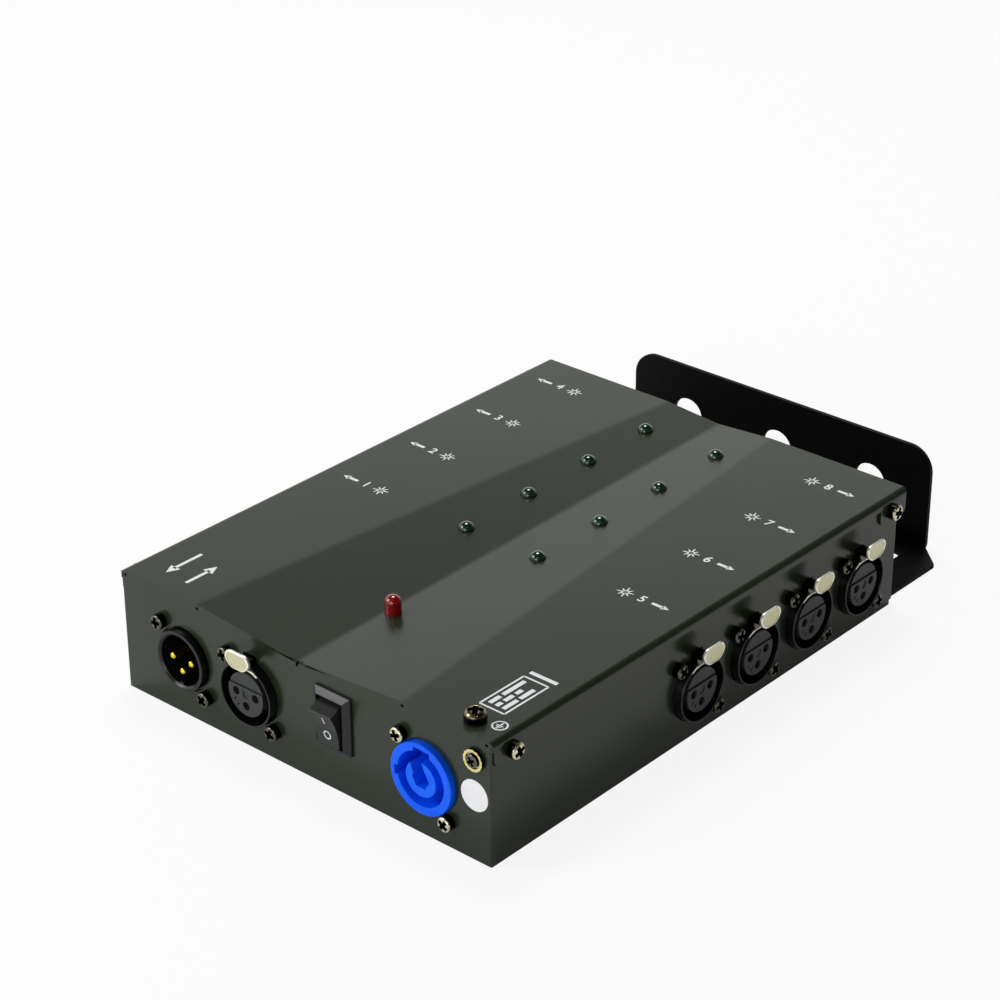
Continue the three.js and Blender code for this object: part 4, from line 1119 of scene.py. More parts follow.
for i, x in enumerate((-BASE_SCREW_X, BASE_SCREW_X)):
    for j, y in enumerate(BASE_SCREW_IN):
        place = wall_place(X, -Y, -Z, (x, front_y + y, BASE_SCREW_LEVEL))
        dress(f"base_screw_{i}_{j}", flat_screw, black_nickel, spin(place, BASE_SCREW_TURN * (i + 2 * j)))
print("screws", len(EAR_SCREW_TURNS) + 1 + 2 * len(BASE_SCREW_IN))

# %% [markdown]
# ## The three-pole sockets
# Nine latching sockets, all alike: a moulded shell whose round rim stands out of the wall, a grey
# insulator with three holes and a stepped face, plated contacts in the holes, and a latch
# that slides in a slot at the top. The meshes are made once and shared. The shell is turned, then
# the latch's slot is cut from it, as the mould would leave it.

# %% Socket meshes
RIM_IN = 10.6
RIM_PROUD = 3.1
RIM_EASE = 0.35
SHELL_DEEP = 13.0
SHELL_BACK = 1.8
SHELL_SOFT = 0.12
FLANGE_HALF_X = 13.2
FLANGE_HALF_Y = 13.5
FLANGE_THICK = 1.6
FLANGE_CORNER = 2.5
FACE_R = 7.7
FACE_PROUD = 2.6
FACE_STEP = 0.3
FACE_SOFT = 0.14
CHORD_TOP = 3.0
CHORD_WIDE = 0.65
POLE_SPREAD = 4.25
POLE_HOLE = 1.5
POLE_DEEP = 9.0
CONTACT_WALL = 0.4
CONTACT_LOW = 2.2
DISC_R = 1.45
DOT_HALF_LONG = 0.45
DOT_R = 0.3
DOTS = ((-4.9, -3.0, 62), (-3.4, -4.6, 40))
SCREW_ACROSS = 10.0
SCREW_UP = 10.7
SLOT_HALF = 2.7
SLOT_LOW = 8.2
SLOT_DEEP = 5.0
FINE_STEPS = 96
COARSE_STEPS = 32
EASE_SHARE = 1 - math.sin(QUARTER_TURN * HALF)
POLES = ((-POLE_SPREAD, 0.0), (POLE_SPREAD, 0.0), (0.0, -POLE_SPREAD))
FLANGE_TOP = -WALL_SHEET
FLANGE_FOOT = -WALL_SHEET - FLANGE_THICK
SCREW_SPOTS = ((-SCREW_ACROSS, SCREW_UP), (SCREW_ACROSS, -SCREW_UP))
SOCKET_SCREW_TURN = 17
SOCKET_SCREW_STEP = 53
NEXT_SOCKET_STEP = 29


def eased_rim(outer, inner, top, ease):
    near = ease * EASE_SHARE
    return [
        (outer, top - ease),
        (outer - near, top - near),
        (outer - ease, top),
        (inner + ease, top),
        (inner + near, top - near),
        (inner, top - ease),
    ]


def rear_flange(half_x, half_y, bore):
    plate = prism(rounded_rectangle(half_x, half_y, FLANGE_CORNER), FLANGE_FOOT, FLANGE_TOP)
    return carve(plate, [prism(circle(bore), -THROUGH, THROUGH)])


def capsule(x, y, half_long, radius, degrees, steps=12):
    c, s = math.cos(math.radians(degrees)), math.sin(math.radians(degrees))
    points = []
    for end in (1, -1):
        for i in range(steps + 1):
            angle = math.pi * (i / steps - HALF)
            u = end * (half_long + radius * math.cos(angle))
            v = end * radius * math.sin(angle)
            points.append((x + c * u - s * v, y + s * u + c * v))
    return points


def shell_mesh():
    profile = [(0.0, -SHELL_DEEP), (RIM_OUT, -SHELL_DEEP)]
    profile += eased_rim(RIM_OUT, RIM_IN, RIM_PROUD, RIM_EASE)
    profile += [(RIM_IN, SHELL_BACK - SHELL_DEEP), (0.0, SHELL_BACK - SHELL_DEEP)]
    body = lathe(profile, FINE_STEPS)
    flange = rear_flange(FLANGE_HALF_X, FLANGE_HALF_Y, RIM_IN + GAP)
    body = carve(body, [flange], "UNION")
    slot = cube(-SLOT_HALF, SLOT_HALF, SLOT_LOW, RIM_OUT + THROUGH, -SLOT_DEEP, RIM_PROUD + THROUGH)
    return soften(carve(body, [slot]), SHELL_SOFT, 2)


def face_mesh():
    foot, top = SHELL_BACK - SHELL_DEEP, FACE_PROUD
    body = lathe([(0.0, foot), (FACE_R, foot), (FACE_R, top), (0.0, top)])
    wide = FACE_R + GAP
    chord_low = CHORD_TOP - CHORD_WIDE
    tools = [cube(-wide, wide, CHORD_TOP, wide, top - FACE_STEP, top + THROUGH)]
    tools.append(cube(-wide, wide, chord_low, CHORD_TOP, top - 2 * FACE_STEP, top + THROUGH))
    for x, y in POLES:
        tools.append(prism(circle(POLE_HOLE, COARSE_STEPS, x, y), top - POLE_DEEP, top + THROUGH))
    tools.append(prism(circle(DISC_R, COARSE_STEPS), top - FACE_STEP, top + THROUGH))
    for x, y, degrees in DOTS:
        dot = capsule(x, y, DOT_HALF_LONG, DOT_R, degrees)
        tools.append(prism(dot, top - 2 * FACE_STEP, top + THROUGH))
    return soften(carve(body, tools), FACE_SOFT, 2)


def contact_mesh():
    outer = POLE_HOLE - GAP * HALF
    inner = outer - CONTACT_WALL
    foot, top = FACE_PROUD - POLE_DEEP + GAP, FACE_PROUD - CONTACT_LOW
    ring = lathe([(outer, foot), (outer, top), (inner, top), (inner, foot)], COARSE_STEPS)
    rings = [moved(ring, shift(x, y)) for x, y in POLES]
    return soften(carve(rings[0], rings[1:], "UNION"), 0)


socket_shell = shell_mesh()
socket_face = face_mesh()
socket_contacts = contact_mesh()
print("socket meshes", len(socket_shell.polygons), len(socket_face.polygons))

# %% [markdown]
# ## The latch
# The latch is a nickel-plated tab on a spring: a stem that goes back through the wall and a curved catch
# that closes over the plug inside the socket's rim. The stem and its link are drawn in black nickel, which
# is painted shade behind the tab. The tab has a rolled edge round a sunk field, and the edge and the catch
# are drawn in a whiter nickel as a painted highlight, so the outline of the tab shows.
# Both ride on the latch's own body, because pressing the tab slides the whole strip in by about
# two millimetres.

# %% Latch meshes and all nine sockets
TAB_RIGHT = 0.75
TAB_UP = 14.2
TAB_PROUD = 6.6
TAB_THICK = 1.1
TAB_SOFT = 0.3
TAB_CORNERS = (
    (2.2, -3.05),
    (3.5, -2.35),
    (4.6, -1.3),
    (5.25, -0.2),
    (5.4, 0.6),
    (5.1, 1.6),
    (4.5, 2.5),
    (3.6, 3.0),
    (2.8, 3.05),
)
FIELD_SHARE = 0.84
FIELD_DEEP = 0.16
STEM_HALF = 2.4
STEM_LOW = 12.1
STEM_HIGH = 13.3
STEM_DEEP = 6.0
CATCH_IN = 8.9
CATCH_OUT = 10.3
CATCH_PROUD = 2.2
CATCH_THICK = 1.2
CATCH_TURN = math.radians(32)
CATCH_STEPS = 16
STEM_SOFT = 0.1


def tab_outline(share):
    right = [(x * share, y * share) for x, y in TAB_CORNERS]
    left = [(-x, y) for x, y in reversed(right)]
    return [(TAB_RIGHT + x, TAB_UP + y) for x, y in right + left]


def tab_mesh():
    tab = soften(prism(tab_outline(1.0), TAB_PROUD - TAB_THICK, TAB_PROUD), TAB_SOFT, 3)
    field = prism(tab_outline(FIELD_SHARE), TAB_PROUD - FIELD_DEEP, TAB_PROUD + THROUGH)
    # The rolled edge keeps the painted highlight nickel, and the sunk field is plain satin nickel.
    tab = carve(coated(tab, rim_nickel), [coated(field, satin_nickel)])
    return soften(tab, STEM_SOFT * HALF, 2)


def spring_mesh():
    arc = [CATCH_TURN * (2 * i / CATCH_STEPS - 1) for i in range(CATCH_STEPS + 1)]
    inner = [(CATCH_IN * math.sin(a), CATCH_IN * math.cos(a)) for a in arc]
    outer = [(CATCH_OUT * math.sin(a), CATCH_OUT * math.cos(a)) for a in reversed(arc)]
    low, high = CATCH_PROUD - CATCH_THICK, CATCH_PROUD
    catch = prism(inner + outer, low, high)
    link = cube(-STEM_HALF, STEM_HALF, CATCH_IN + GAP, STEM_LOW + GAP, low, high)
    stem = cube(-STEM_HALF, STEM_HALF, STEM_LOW, STEM_HIGH, -STEM_DEEP, TAB_PROUD - TAB_THICK)
    # The stem and link are black nickel as painted shade behind the tab; the catch takes the painted
    # highlight nickel.
    joined = [coated(link, black_nickel), coated(catch, rim_nickel)]
    spring = carve(coated(stem, black_nickel), joined, "UNION")
    return soften(spring, STEM_SOFT, 2)


latch_tab = tab_mesh()
latch_spring = spring_mesh()
for number, (name, place) in enumerate(socket_places.items()):
    node = f"socket_{name}"
    body = f"latch_{name}"
    dress(node + "_body", socket_shell, nylon_black, place, replaces=[node + "_shell"])
    dress(
        node + "_insulator",
        socket_face,
        insulator_grey,
        place,
        replaces=[node + "_face"],
    )
    dress(node + "_contacts", socket_contacts, gold_plate, place)
    dress(node + "_tab", latch_tab, rim_nickel, place, body, [node + "_latch"])
    dress(node + "_spring", latch_spring, black_nickel, place, body)
    for k, (x, y) in enumerate(SCREW_SPOTS):
        degrees = SOCKET_SCREW_TURN + SOCKET_SCREW_STEP * k + NEXT_SOCKET_STEP * number
        dress(f"{node}_screw_{k}", black_screw, black_nickel, spin(place, degrees, x, y))
print("sockets", len(socket_places))

# %% [markdown]
# ## The input plug
# The signal comes in through a three-pin plug: a round cup sunk in the wall with a stepped rim,
# three gold-plated pins that stand on a black floor, and a key at the bottom that lines the cable
# up. Everything round is turned. The pins end in a soft dome just below the rim of the cup.

# %% The input plug
CUP_OUT = 10.75
CUP_IN = 8.9
CUP_BODY = 10.6
CUP_DEEP = 14.5
CUP_BACK = 1.5
CUP_PROUD = 2.5
CUP_EASE = 0.3
CUP_CHAMFER = 0.7
CUP_SOFT = 0.1
FLOOR_THICK = 2.0
COLLAR_R = 1.9
COLLAR_TALL = 0.2
KEY_HALF = 0.8
KEY_HIGH = 1.0
PIN_R = 1.2
PIN_PROUD = 1.7
PIN_DOME = 0.9
PIN_STEPS = 6
PLUG_SCREW_TURN = 8
PLUG_SCREW_STEP = 41
cup_floor = CUP_BACK - CUP_DEEP + FLOOR_THICK


def cup_mesh():
    profile = [
        (0.0, -CUP_DEEP),
        (CUP_BODY, -CUP_DEEP),
        (CUP_BODY, FLANGE_FOOT),
        (CUP_OUT, FLANGE_FOOT),
        (CUP_OUT, CUP_PROUD - CUP_EASE),
        (CUP_OUT - CUP_EASE * EASE_SHARE, CUP_PROUD - CUP_EASE * EASE_SHARE),
        (CUP_OUT - CUP_EASE, CUP_PROUD),
        (CUP_IN + CUP_CHAMFER, CUP_PROUD),
        (CUP_IN, CUP_PROUD - CUP_CHAMFER),
        (CUP_IN, CUP_BACK - CUP_DEEP),
        (0.0, CUP_BACK - CUP_DEEP),
    ]
    body = lathe(profile, FINE_STEPS)
    flange = rear_flange(FLANGE_HALF_X, FLANGE_HALF_Y, CUP_IN + GAP)
    key_top = KEY_HIGH - CUP_IN
    key = cube(-KEY_HALF, KEY_HALF, -CUP_IN - GAP, key_top, cup_floor + GAP, CUP_PROUD - CUP_CHAMFER)
    return soften(carve(body, [flange, key], "UNION"), CUP_SOFT, 2)


def pin_mesh():
    shoulder = PIN_PROUD - PIN_DOME
    profile = [(0.0, cup_floor), (PIN_R, cup_floor), (PIN_R, shoulder)]
    for i in range(1, PIN_STEPS):
        angle = QUARTER_TURN * i / PIN_STEPS
        profile.append((PIN_R * math.cos(angle), shoulder + PIN_DOME * math.sin(angle)))
    profile.append((0.0, PIN_PROUD))
    return soften(lathe(profile, COARSE_STEPS), 0)


def floor_mesh():
    disc = prism(circle(CUP_IN - GAP), CUP_BACK - CUP_DEEP, cup_floor)
    top = cup_floor + COLLAR_TALL
    collars = [prism(circle(COLLAR_R, COARSE_STEPS, x, y), cup_floor - GAP, top) for x, y in POLES]
    return soften(carve(disc, collars, "UNION"), CUP_SOFT, 2)


dress("plug_cup", cup_mesh(), nylon_black, plug_place, replaces=["plug_shell"])
dress(
    "plug_insulator",
    floor_mesh(),
    insulator_black,
    plug_place,
    replaces=["plug_floor"],
)
gold_pin = pin_mesh()
for k, (x, y) in enumerate(POLES):
    place = plug_place @ shift(x, y)
    dress(f"gold_pin_{k + 1}", gold_pin, gold_plate, place, replaces=[f"plug_pin_{k + 1}"])
for k, (x, y) in enumerate(SCREW_SPOTS):
    degrees = PLUG_SCREW_TURN + PLUG_SCREW_STEP * k
    dress(f"plug_screw_{k}", black_screw, black_nickel, spin(plug_place, degrees, x, y))
print("plug ready")

# %% [markdown]
# ## The mains inlet
# Power comes in through a twist-lock inlet, moulded in blue so that nobody takes it for an
# outlet. A broad ring stands out of the wall; inside it a deep ring-shaped groove with two
# keyways takes the plug, and the core has a slot at one side and a six-sided hole. It is turned
# and then cut, and the core is a piece of its own in a lighter blue.

# %% The mains inlet
INLET_PROUD = 2.1
INLET_EASE = 0.4
INLET_BORE = 9.4
INLET_BODY = 11.8
INLET_DEEP = 20.0
INLET_BACK = 3.0
INLET_SOFT = 0.15
INLET_FLANGE_HALF_X = 15.0
INLET_FLANGE_HALF_Y = 14.6
CORE_R = 6.1
CORE_LOW = 0.2
CORE_HOLE = 3.5
CORE_HOLE_SIDES = 6
CORE_HOLE_TURN = -3.0
CORE_SLOT = 5.0
CORE_SLOT_TURN = 110.0
CORE_FLOOR = 3.0
CORE_SOFT = 0.3
KEYWAYS = ((87.0, 6.6), (182.0, 3.3))
KEYWAY_START = 8.25
KEYWAY_DEEP = 1.25
KEYWAY_LONG = 12.0
INLET_SCREWS = ((-9.5, 12.0), (9.5, -12.0))
INLET_SCREW_TURN = 21
INLET_SCREW_STEP = 33


def spoke(near, far, width, low, high, degrees):
    arm = cube(near, far, -width * HALF, width * HALF, low, high)
    return moved(arm, Matrix.Rotation(math.radians(degrees), 4, "Z"))


def inlet_mesh():
    floor_level = INLET_BACK - INLET_DEEP
    profile = [(0.0, -INLET_DEEP), (INLET_BODY, -INLET_DEEP)]
    profile += [(INLET_BODY, FLANGE_FOOT), (INLET_OUT, FLANGE_FOOT)]
    profile += eased_rim(INLET_OUT, INLET_BORE, INLET_PROUD, INLET_EASE)
    profile += [(INLET_BORE, floor_level), (0.0, floor_level)]
    body = lathe(profile, FINE_STEPS)
    flange = rear_flange(INLET_FLANGE_HALF_X, INLET_FLANGE_HALF_Y, INLET_BORE + GAP)
    body = carve(body, [flange], "UNION")
    tools = []
    for degrees, width in KEYWAYS:
        far = INLET_BORE + KEYWAY_DEEP
        low, high = INLET_PROUD - KEYWAY_LONG, INLET_PROUD + THROUGH
        tools.append(spoke(KEYWAY_START, far, width, low, high, degrees))
    return soften(carve(body, tools), INLET_SOFT, 2)


def core_mesh():
    low = INLET_BACK - INLET_DEEP
    top = INLET_PROUD - CORE_LOW
    body = prism(circle(CORE_R), low, top)
    hole = moved(
        prism(circle(CORE_HOLE, CORE_HOLE_SIDES), low + CORE_FLOOR, top + THROUGH),
        Matrix.Rotation(math.radians(CORE_HOLE_TURN), 4, "Z"),
    )
    slot = spoke(0.0, CORE_R + GAP, CORE_SLOT, low + CORE_FLOOR, top + THROUGH, CORE_SLOT_TURN)
    return soften(carve(body, [hole, slot]), CORE_SOFT, 3)


dress(
    "inlet_ring",
    inlet_mesh(),
    nylon_blue,
    inlet_place,
    replaces=["inlet_housing"],
)
dress("inlet_heart", core_mesh(), nylon_light_blue, inlet_place, replaces=["inlet_core"])
for k, (x, y) in enumerate(INLET_SCREWS):
    degrees = INLET_SCREW_TURN + INLET_SCREW_STEP * k
    dress(f"inlet_screw_{k}", bright_screw, bright_zinc, spin(inlet_place, degrees, x, y))
print("inlet ready")

# %% [markdown]
# ## The mains switch
# A rocker switch snaps into the front wall. Its bezel is a shallow pyramid frame, and each of its
# four slopes meets the light differently. The rocker is a bar with a hollow face, so that a
# finger finds it: drawn as a side view and stretched across. The bar and the ring printed on it
# follow that hollow. It rides on the rocker's own body and turns between its two stops.

# %% The mains switch
BEZEL_HALF = (7.6, 10.5)
BEZEL_EDGE = 0.85
BEZEL_PROUD = 2.55
BEZEL_SOFT = 0.25
POCKET_HALF = (5.5, 8.4)
POCKET_DEEP = 6.8
BARREL_HALF_X = 6.6
BARREL_HALF_Y = 9.3
BARREL_DEEP = 14.0
BLADE_HALF = 2.4
BLADE_THICK = 0.8
BLADE_AT = 5.0
BLADE_END = 21.0
ROCKER_HALF = 4.65
ROCKER_PIVOT = -1.25
ROCKER_TURN = math.radians(14)
ROCKER_APEX = (6.8, 6.35)
ROCKER_HOLLOW = 1.0
ROCKER_UNDER = ((7.75, 1.2), (7.3, -1.6), (5.4, -3.4), (2.0, -4.3))
ROCKER_SOFT = 0.28
ROCKER_LIMIT = math.radians(25)
HOLLOW_STEPS = 24
STUB_R = 0.9
STUB_LONG = 1.3
INK = 0.02
BAR_MARK = (0.25, 2.1, 4.9)
BAR_STEPS = 6
RING_MARK = (-2.62, 1.1, 1.6)
RING_STEPS = 40


def bezel_mesh():
    verts = []
    levels = ((BEZEL_HALF, 0.0), (BEZEL_HALF, BEZEL_EDGE), (POCKET_HALF, BEZEL_PROUD))
    for (half_x, half_y), z in levels:
        verts += [(-half_x, -half_y, z), (half_x, -half_y, z), (half_x, half_y, z), (-half_x, half_y, z)]
    faces = [(3, 2, 1, 0), (8, 9, 10, 11)]
    for foot in (0, 4):
        for i in range(4):
            j = (i + 1) % 4
            faces.append((foot + i, foot + j, foot + j + 4, foot + i + 4))
    frame_block = soften(mesh_from("bezel", verts, faces), BEZEL_SOFT, 2)
    barrel = cube(-BARREL_HALF_X, BARREL_HALF_X, -BARREL_HALF_Y, BARREL_HALF_Y, -BARREL_DEEP, GAP)
    body = carve(frame_block, [barrel], "UNION")
    half_x, half_y = POCKET_HALF
    pocket = cube(-half_x, half_x, -half_y, half_y, -POCKET_DEEP, BEZEL_PROUD + THROUGH)
    body = carve(body, [pocket])
    blades = []
    for y in (-BLADE_AT, BLADE_AT):
        thin = BLADE_THICK * HALF
        blades.append(cube(-BLADE_HALF, BLADE_HALF, y - thin, y + thin, -BLADE_END, GAP - BARREL_DEEP))
    return soften(carve(body, blades, "UNION"), BEZEL_SOFT * HALF, 2)


def hollow_height(y):
    reach, up = ROCKER_APEX
    return up - ROCKER_HOLLOW * (1 - (y / reach) ** 2)


def rocker_mesh():
    reach, _ = ROCKER_APEX
    points = []
    for i in range(HOLLOW_STEPS + 1):
        y = reach * (1 - 2 * i / HOLLOW_STEPS)
        points.append((y, hollow_height(y)))
    points += [(-y, z) for y, z in ROCKER_UNDER]
    points += list(reversed(ROCKER_UNDER))
    body = moved(prism(points, 0, 2 * ROCKER_HALF), wall_place(Y, Z, X, (-ROCKER_HALF, 0, 0)))
    reach = ROCKER_HALF + STUB_LONG
    stub = prism(circle(STUB_R, COARSE_STEPS), -reach, reach)
    stub = moved(stub, Matrix.Rotation(QUARTER_TURN, 4, "Y"))
    return soften(carve(body, [stub], "UNION"), ROCKER_SOFT, 3, ROCKER_LIMIT)


def ink_strip(outline_pairs, closed):
    verts, faces = [], []
    for (x0, y0), (x1, y1) in outline_pairs:
        verts += [(x0, y0, hollow_height(y0) + INK), (x1, y1, hollow_height(y1) + INK)]
    count = len(outline_pairs)
    for i in range(count if closed else count - 1):
        a, b = 2 * i, 2 * ((i + 1) % count)
        faces.append((a, a + 1, b + 1, b))
    return mesh_from("ink", verts, faces)


def rocker_marks():
    half_wide, low, high = BAR_MARK
    bar = []
    for i in range(BAR_STEPS + 1):
        y = low + (high - low) * i / BAR_STEPS
        bar.append(((-half_wide, y), (half_wide, y)))
    at, inner, outer = RING_MARK
    ring = []
    for x, y in circle(1.0, RING_STEPS):
        ring.append(((x * inner, at + y * inner), (x * outer, at + y * outer)))
    marks = mesh_from("marks", [], [])
    work = bmesh.new()
    for strip in (ink_strip(bar, False), ink_strip(ring, True)):
        work.from_mesh(strip)
    work.to_mesh(marks)
    work.free()
    return marks


rocker_place = switch_place @ shift(z=ROCKER_PIVOT)
rocker_tilt = Matrix.Rotation(ROCKER_TURN, 4, "X")
dress("switch_bezel", bezel_mesh(), switch_black, switch_place, replaces=["switch_body"])
dress(
    "switch_rocker_bar",
    moved(rocker_mesh(), rocker_tilt),
    rocker_black,
    rocker_place,
    body="rocker",
    replaces=["switch_rocker"],
)
dress("switch_marks", moved(rocker_marks(), rocker_tilt), pale_ink, rocker_place, body="rocker")
print("switch ready")

# %% [markdown]
# ## The lamps
# Nine light-emitting diodes look out of the cover: a red one that says the power is on, and a
# green one for each output. Each is a cylinder with a domed end in tinted epoxy that reaches
# on below the cover. The red one stands taller. Legs go down to the board.

# %% The lamps
DOME_STEPS = 14
DOME_SHARE = 0.86
LEG_HALF = 0.25
LEG_APART = 1.27
LEG_UP = 0.4
BODY_UNDER = 2.4


def lamp_mesh(rise, below, leg_low):
    dome = LAMP_R * DOME_SHARE
    profile = [(0.0, -below), (LAMP_R, -below), (LAMP_R, rise - dome)]
    for i in range(1, DOME_STEPS):
        angle = QUARTER_TURN * i / DOME_STEPS
        profile.append((LAMP_R * math.cos(angle), rise - dome + dome * math.sin(angle)))
    profile.append((0.0, rise))
    body = lathe(profile, HOLE_STEPS)
    legs = []
    for x in (-LEG_APART, LEG_APART):
        legs.append(cube(x - LEG_HALF, x + LEG_HALF, -LEG_HALF, LEG_HALF, leg_low, LEG_UP - below))
    return soften(carve(body, legs, "UNION"), 0)


for node in LAMPS:
    low, high = span_mm(node)
    x, y = middle(node, 0), middle(node, 1)
    surface = top_z - drop_at(x, y)
    red = node == "lamp_power"
    mesh = lamp_mesh(high[2] - surface, COVER_SHEET + BODY_UNDER, low[2] - surface)
    dress(
        node + "_dome",
        mesh,
        red_epoxy if red else green_epoxy,
        Matrix.Translation(Vector((x, y, surface)) * MM),
        replaces=[node],
    )
print("lamps", len(LAMPS))

# %% [markdown]
# ## The earth point and the blank label
# A screw with a toothed washer bonds the case to earth; its yellow ring is easy to find. Below
# it sits a round paper label, left blank. The washer is a turned ring with a raised lip round a
# smaller dark screw, and its teeth are cut with small wedges. The label is a thin disc.

# %% The earth point and the blank label
WASHER_R = 3.8
WASHER_LIP = 2.75
WASHER_HOLE = 2.05
WASHER_THICK = 1.3
WASHER_DISH = 0.9
WASHER_SOFT = 0.15
TEETH = 14
TOOTH_DEEP = 0.3
TOOTH_WIDE = 0.32
LABEL_THICK = 0.15
LABEL_EASE = 0.05
EARTH_TURN = 33


def washer_mesh():
    corners = [(WASHER_HOLE, 0.0), (WASHER_R, 0.0), (WASHER_R, WASHER_THICK), (WASHER_LIP, WASHER_THICK)]
    corners += [(WASHER_LIP, WASHER_THICK - WASHER_DISH), (WASHER_HOLE, WASHER_THICK - WASHER_DISH)]
    ring = soften(lathe(corners), WASHER_SOFT, 2)
    wedges = []
    for i in range(TEETH):
        near = WASHER_R - TOOTH_DEEP
        wedges.append(spoke(near, WASHER_R + GAP, TOOTH_WIDE, -GAP, WASHER_THICK + GAP, 360.0 * i / TEETH))
    return soften(carve(ring, wedges), 0)


earth_place = on_front(middle("earth_washer", 0), middle("earth_washer", 2))
dress(
    "earth_tooth_washer",
    washer_mesh(),
    yellow_brass,
    earth_place,
    replaces=["earth_washer"],
)
dress(
    "earth_screw_zinc",
    screw_mesh(EARTH_SCREW, black_nickel),
    black_nickel,
    spin(earth_place, EARTH_TURN, z=WASHER_THICK - WASHER_DISH),
    replaces=["earth_screw"],
)
label_low, label_high = span_mm("round_label")
label_r = (label_high[0] - label_low[0]) * HALF
label_profile = [(0.0, 0.0), (label_r, 0.0), (label_r, LABEL_THICK - LABEL_EASE)]
label_profile += [(label_r - LABEL_EASE, LABEL_THICK), (0.0, LABEL_THICK)]
label_place = on_front(middle("round_label", 0), middle("round_label", 2))
dress(
    "blank_round_label",
    soften(lathe(label_profile, FINE_STEPS), 0),
    label_paper,
    label_place,
    replaces=["round_label"],
)
print("earth point and label ready")

# %% [markdown]
# ## Printed marks
# The cover is screen printed in white: a burst, a plain number and an arrow at each output, an
# outlined field with plain bars, two long arrows and the earth sign. Only generic signs are used.
# Each is a film without thickness, three hundredths of a millimetre above the coat: flat strips
# and polygons for the signs, and the built-in font, turned into a mesh, for the numbers.

# %% Printed marks
INK_HIGH = 0.03
RAYS = 8
RAY_TURN = math.radians(12)
RAY_LONG = (3.1, 2.6)
RAY_START = 0.25
RAY_WIDE = 0.85
RAY_TIP = 0.3
BURST_HEART = 0.8
RIGHT_BURST_X = 53.4
LEFT_BURST_X = -54.2
BURST_IN = ((95.3, 129.6, 163.1, 197.4), (95.4, 129.3, 164.3, 198.7))
ARROW = (6.8, 2.7, 1.3)
ARROW_AT = 10.8
NUMBER_AT = 6.8
NUMBER_TALL = 3.6
FONT_SHARE = 1.45
FONT_BOLD = 0.1
HEAD_OVERLAP = 0.8


def stroke(x0, y0, x1, y1, width, width_end=None):
    width_end = width if width_end is None else width_end
    along = Vector((x1 - x0, y1 - y0)).normalized()
    side = Vector((-along.y, along.x))
    a, b = Vector((x0, y0)), Vector((x1, y1))
    p, q = side * width * HALF, side * width_end * HALF
    return [tuple(a - p), tuple(b - q), tuple(b + q), tuple(a + p)]


def ring_strokes(radius, width, x=0.0, y=0.0):
    shapes = []
    outer, inner = radius + width * HALF, radius - width * HALF
    for i in range(RING_STEPS):
        a, b = FULL_TURN * i / RING_STEPS, FULL_TURN * (i + 1) / RING_STEPS
        corners = ((inner, a), (outer, a), (outer, b), (inner, b))
        shapes.append([(x + r * math.cos(t), y + r * math.sin(t)) for r, t in corners])
    return shapes


def print_marks(name, shapes, place):
    verts, faces = [], []
    for shape in shapes:
        start = len(verts)
        verts += [(x, y, INK_HIGH) for x, y in shape]
        faces.append(tuple(range(start, start + len(shape))))
    mesh = mesh_from(name, verts, faces)
    for face in mesh.polygons:
        if face.normal.z < 0:
            mesh.flip_normals()
            break
    return dress(name, mesh, white_ink, place)


def burst():
    shapes = []
    for i in range(RAYS):
        angle = FULL_TURN * i / RAYS + RAY_TURN
        long = RAY_LONG[i % 2]
        c, s = math.cos(angle), math.sin(angle)
        shapes.append(stroke(RAY_START * c, RAY_START * s, long * c, long * s, RAY_WIDE, RAY_TIP))
    shapes.append(circle(BURST_HEART, RING_STEPS))
    return shapes


def arrow(length, tall, width):
    shaft = stroke(0, 0, length - tall * HEAD_OVERLAP, 0, width)
    head = [(length - tall, -tall * HALF), (length, 0), (length - tall, tall * HALF)]
    return [shaft, head]


def turned(shapes, x, y, degrees):
    c, s = math.cos(math.radians(degrees)), math.sin(math.radians(degrees))
    return [[(x + c * u - s * v, y + s * u + c * v) for u, v in shape] for shape in shapes]


def printed_number(name, digit, x, y):
    curve = bpy.data.curves.new(name, "FONT")
    curve.body = digit
    curve.size = NUMBER_TALL * FONT_SHARE * MM
    curve.align_x = "CENTER"
    curve.align_y = "CENTER"
    curve.offset = FONT_BOLD * MM
    holder = bpy.data.objects.new(name, curve)
    scene.collection.objects.link(holder)
    mesh = evaluated(holder)
    bpy.data.objects.remove(holder)
    place = Matrix.Translation(Vector((x, y, top_z + INK_HIGH)) * MM)
    return dress(name, mesh, white_ink, place)


on_cover = Matrix.Translation(Vector((0, 0, top_z)) * MM)
for side, x_burst, rows in ((1, RIGHT_BURST_X, BURST_IN[0]), (-1, LEFT_BURST_X, BURST_IN[1])):
    for i, y_in in enumerate(rows):
        y = front_y + y_in
        label = "right" if side > 0 else "left"
        shapes = turned(burst(), x_burst, y, 0)
        shapes += turned(arrow(*ARROW), x_burst + side * ARROW_AT, y, 0 if side > 0 else 180)
        print_marks(f"marks_{label}_{i + 1}", shapes, on_cover)
        digit = str(i + 1 if side < 0 else i + 5)
        printed_number(f"number_{label}_{i + 1}", digit, x_burst + side * NUMBER_AT, y)
print("bursts, numbers and arrows", 2 * len(BURST_IN[0]))

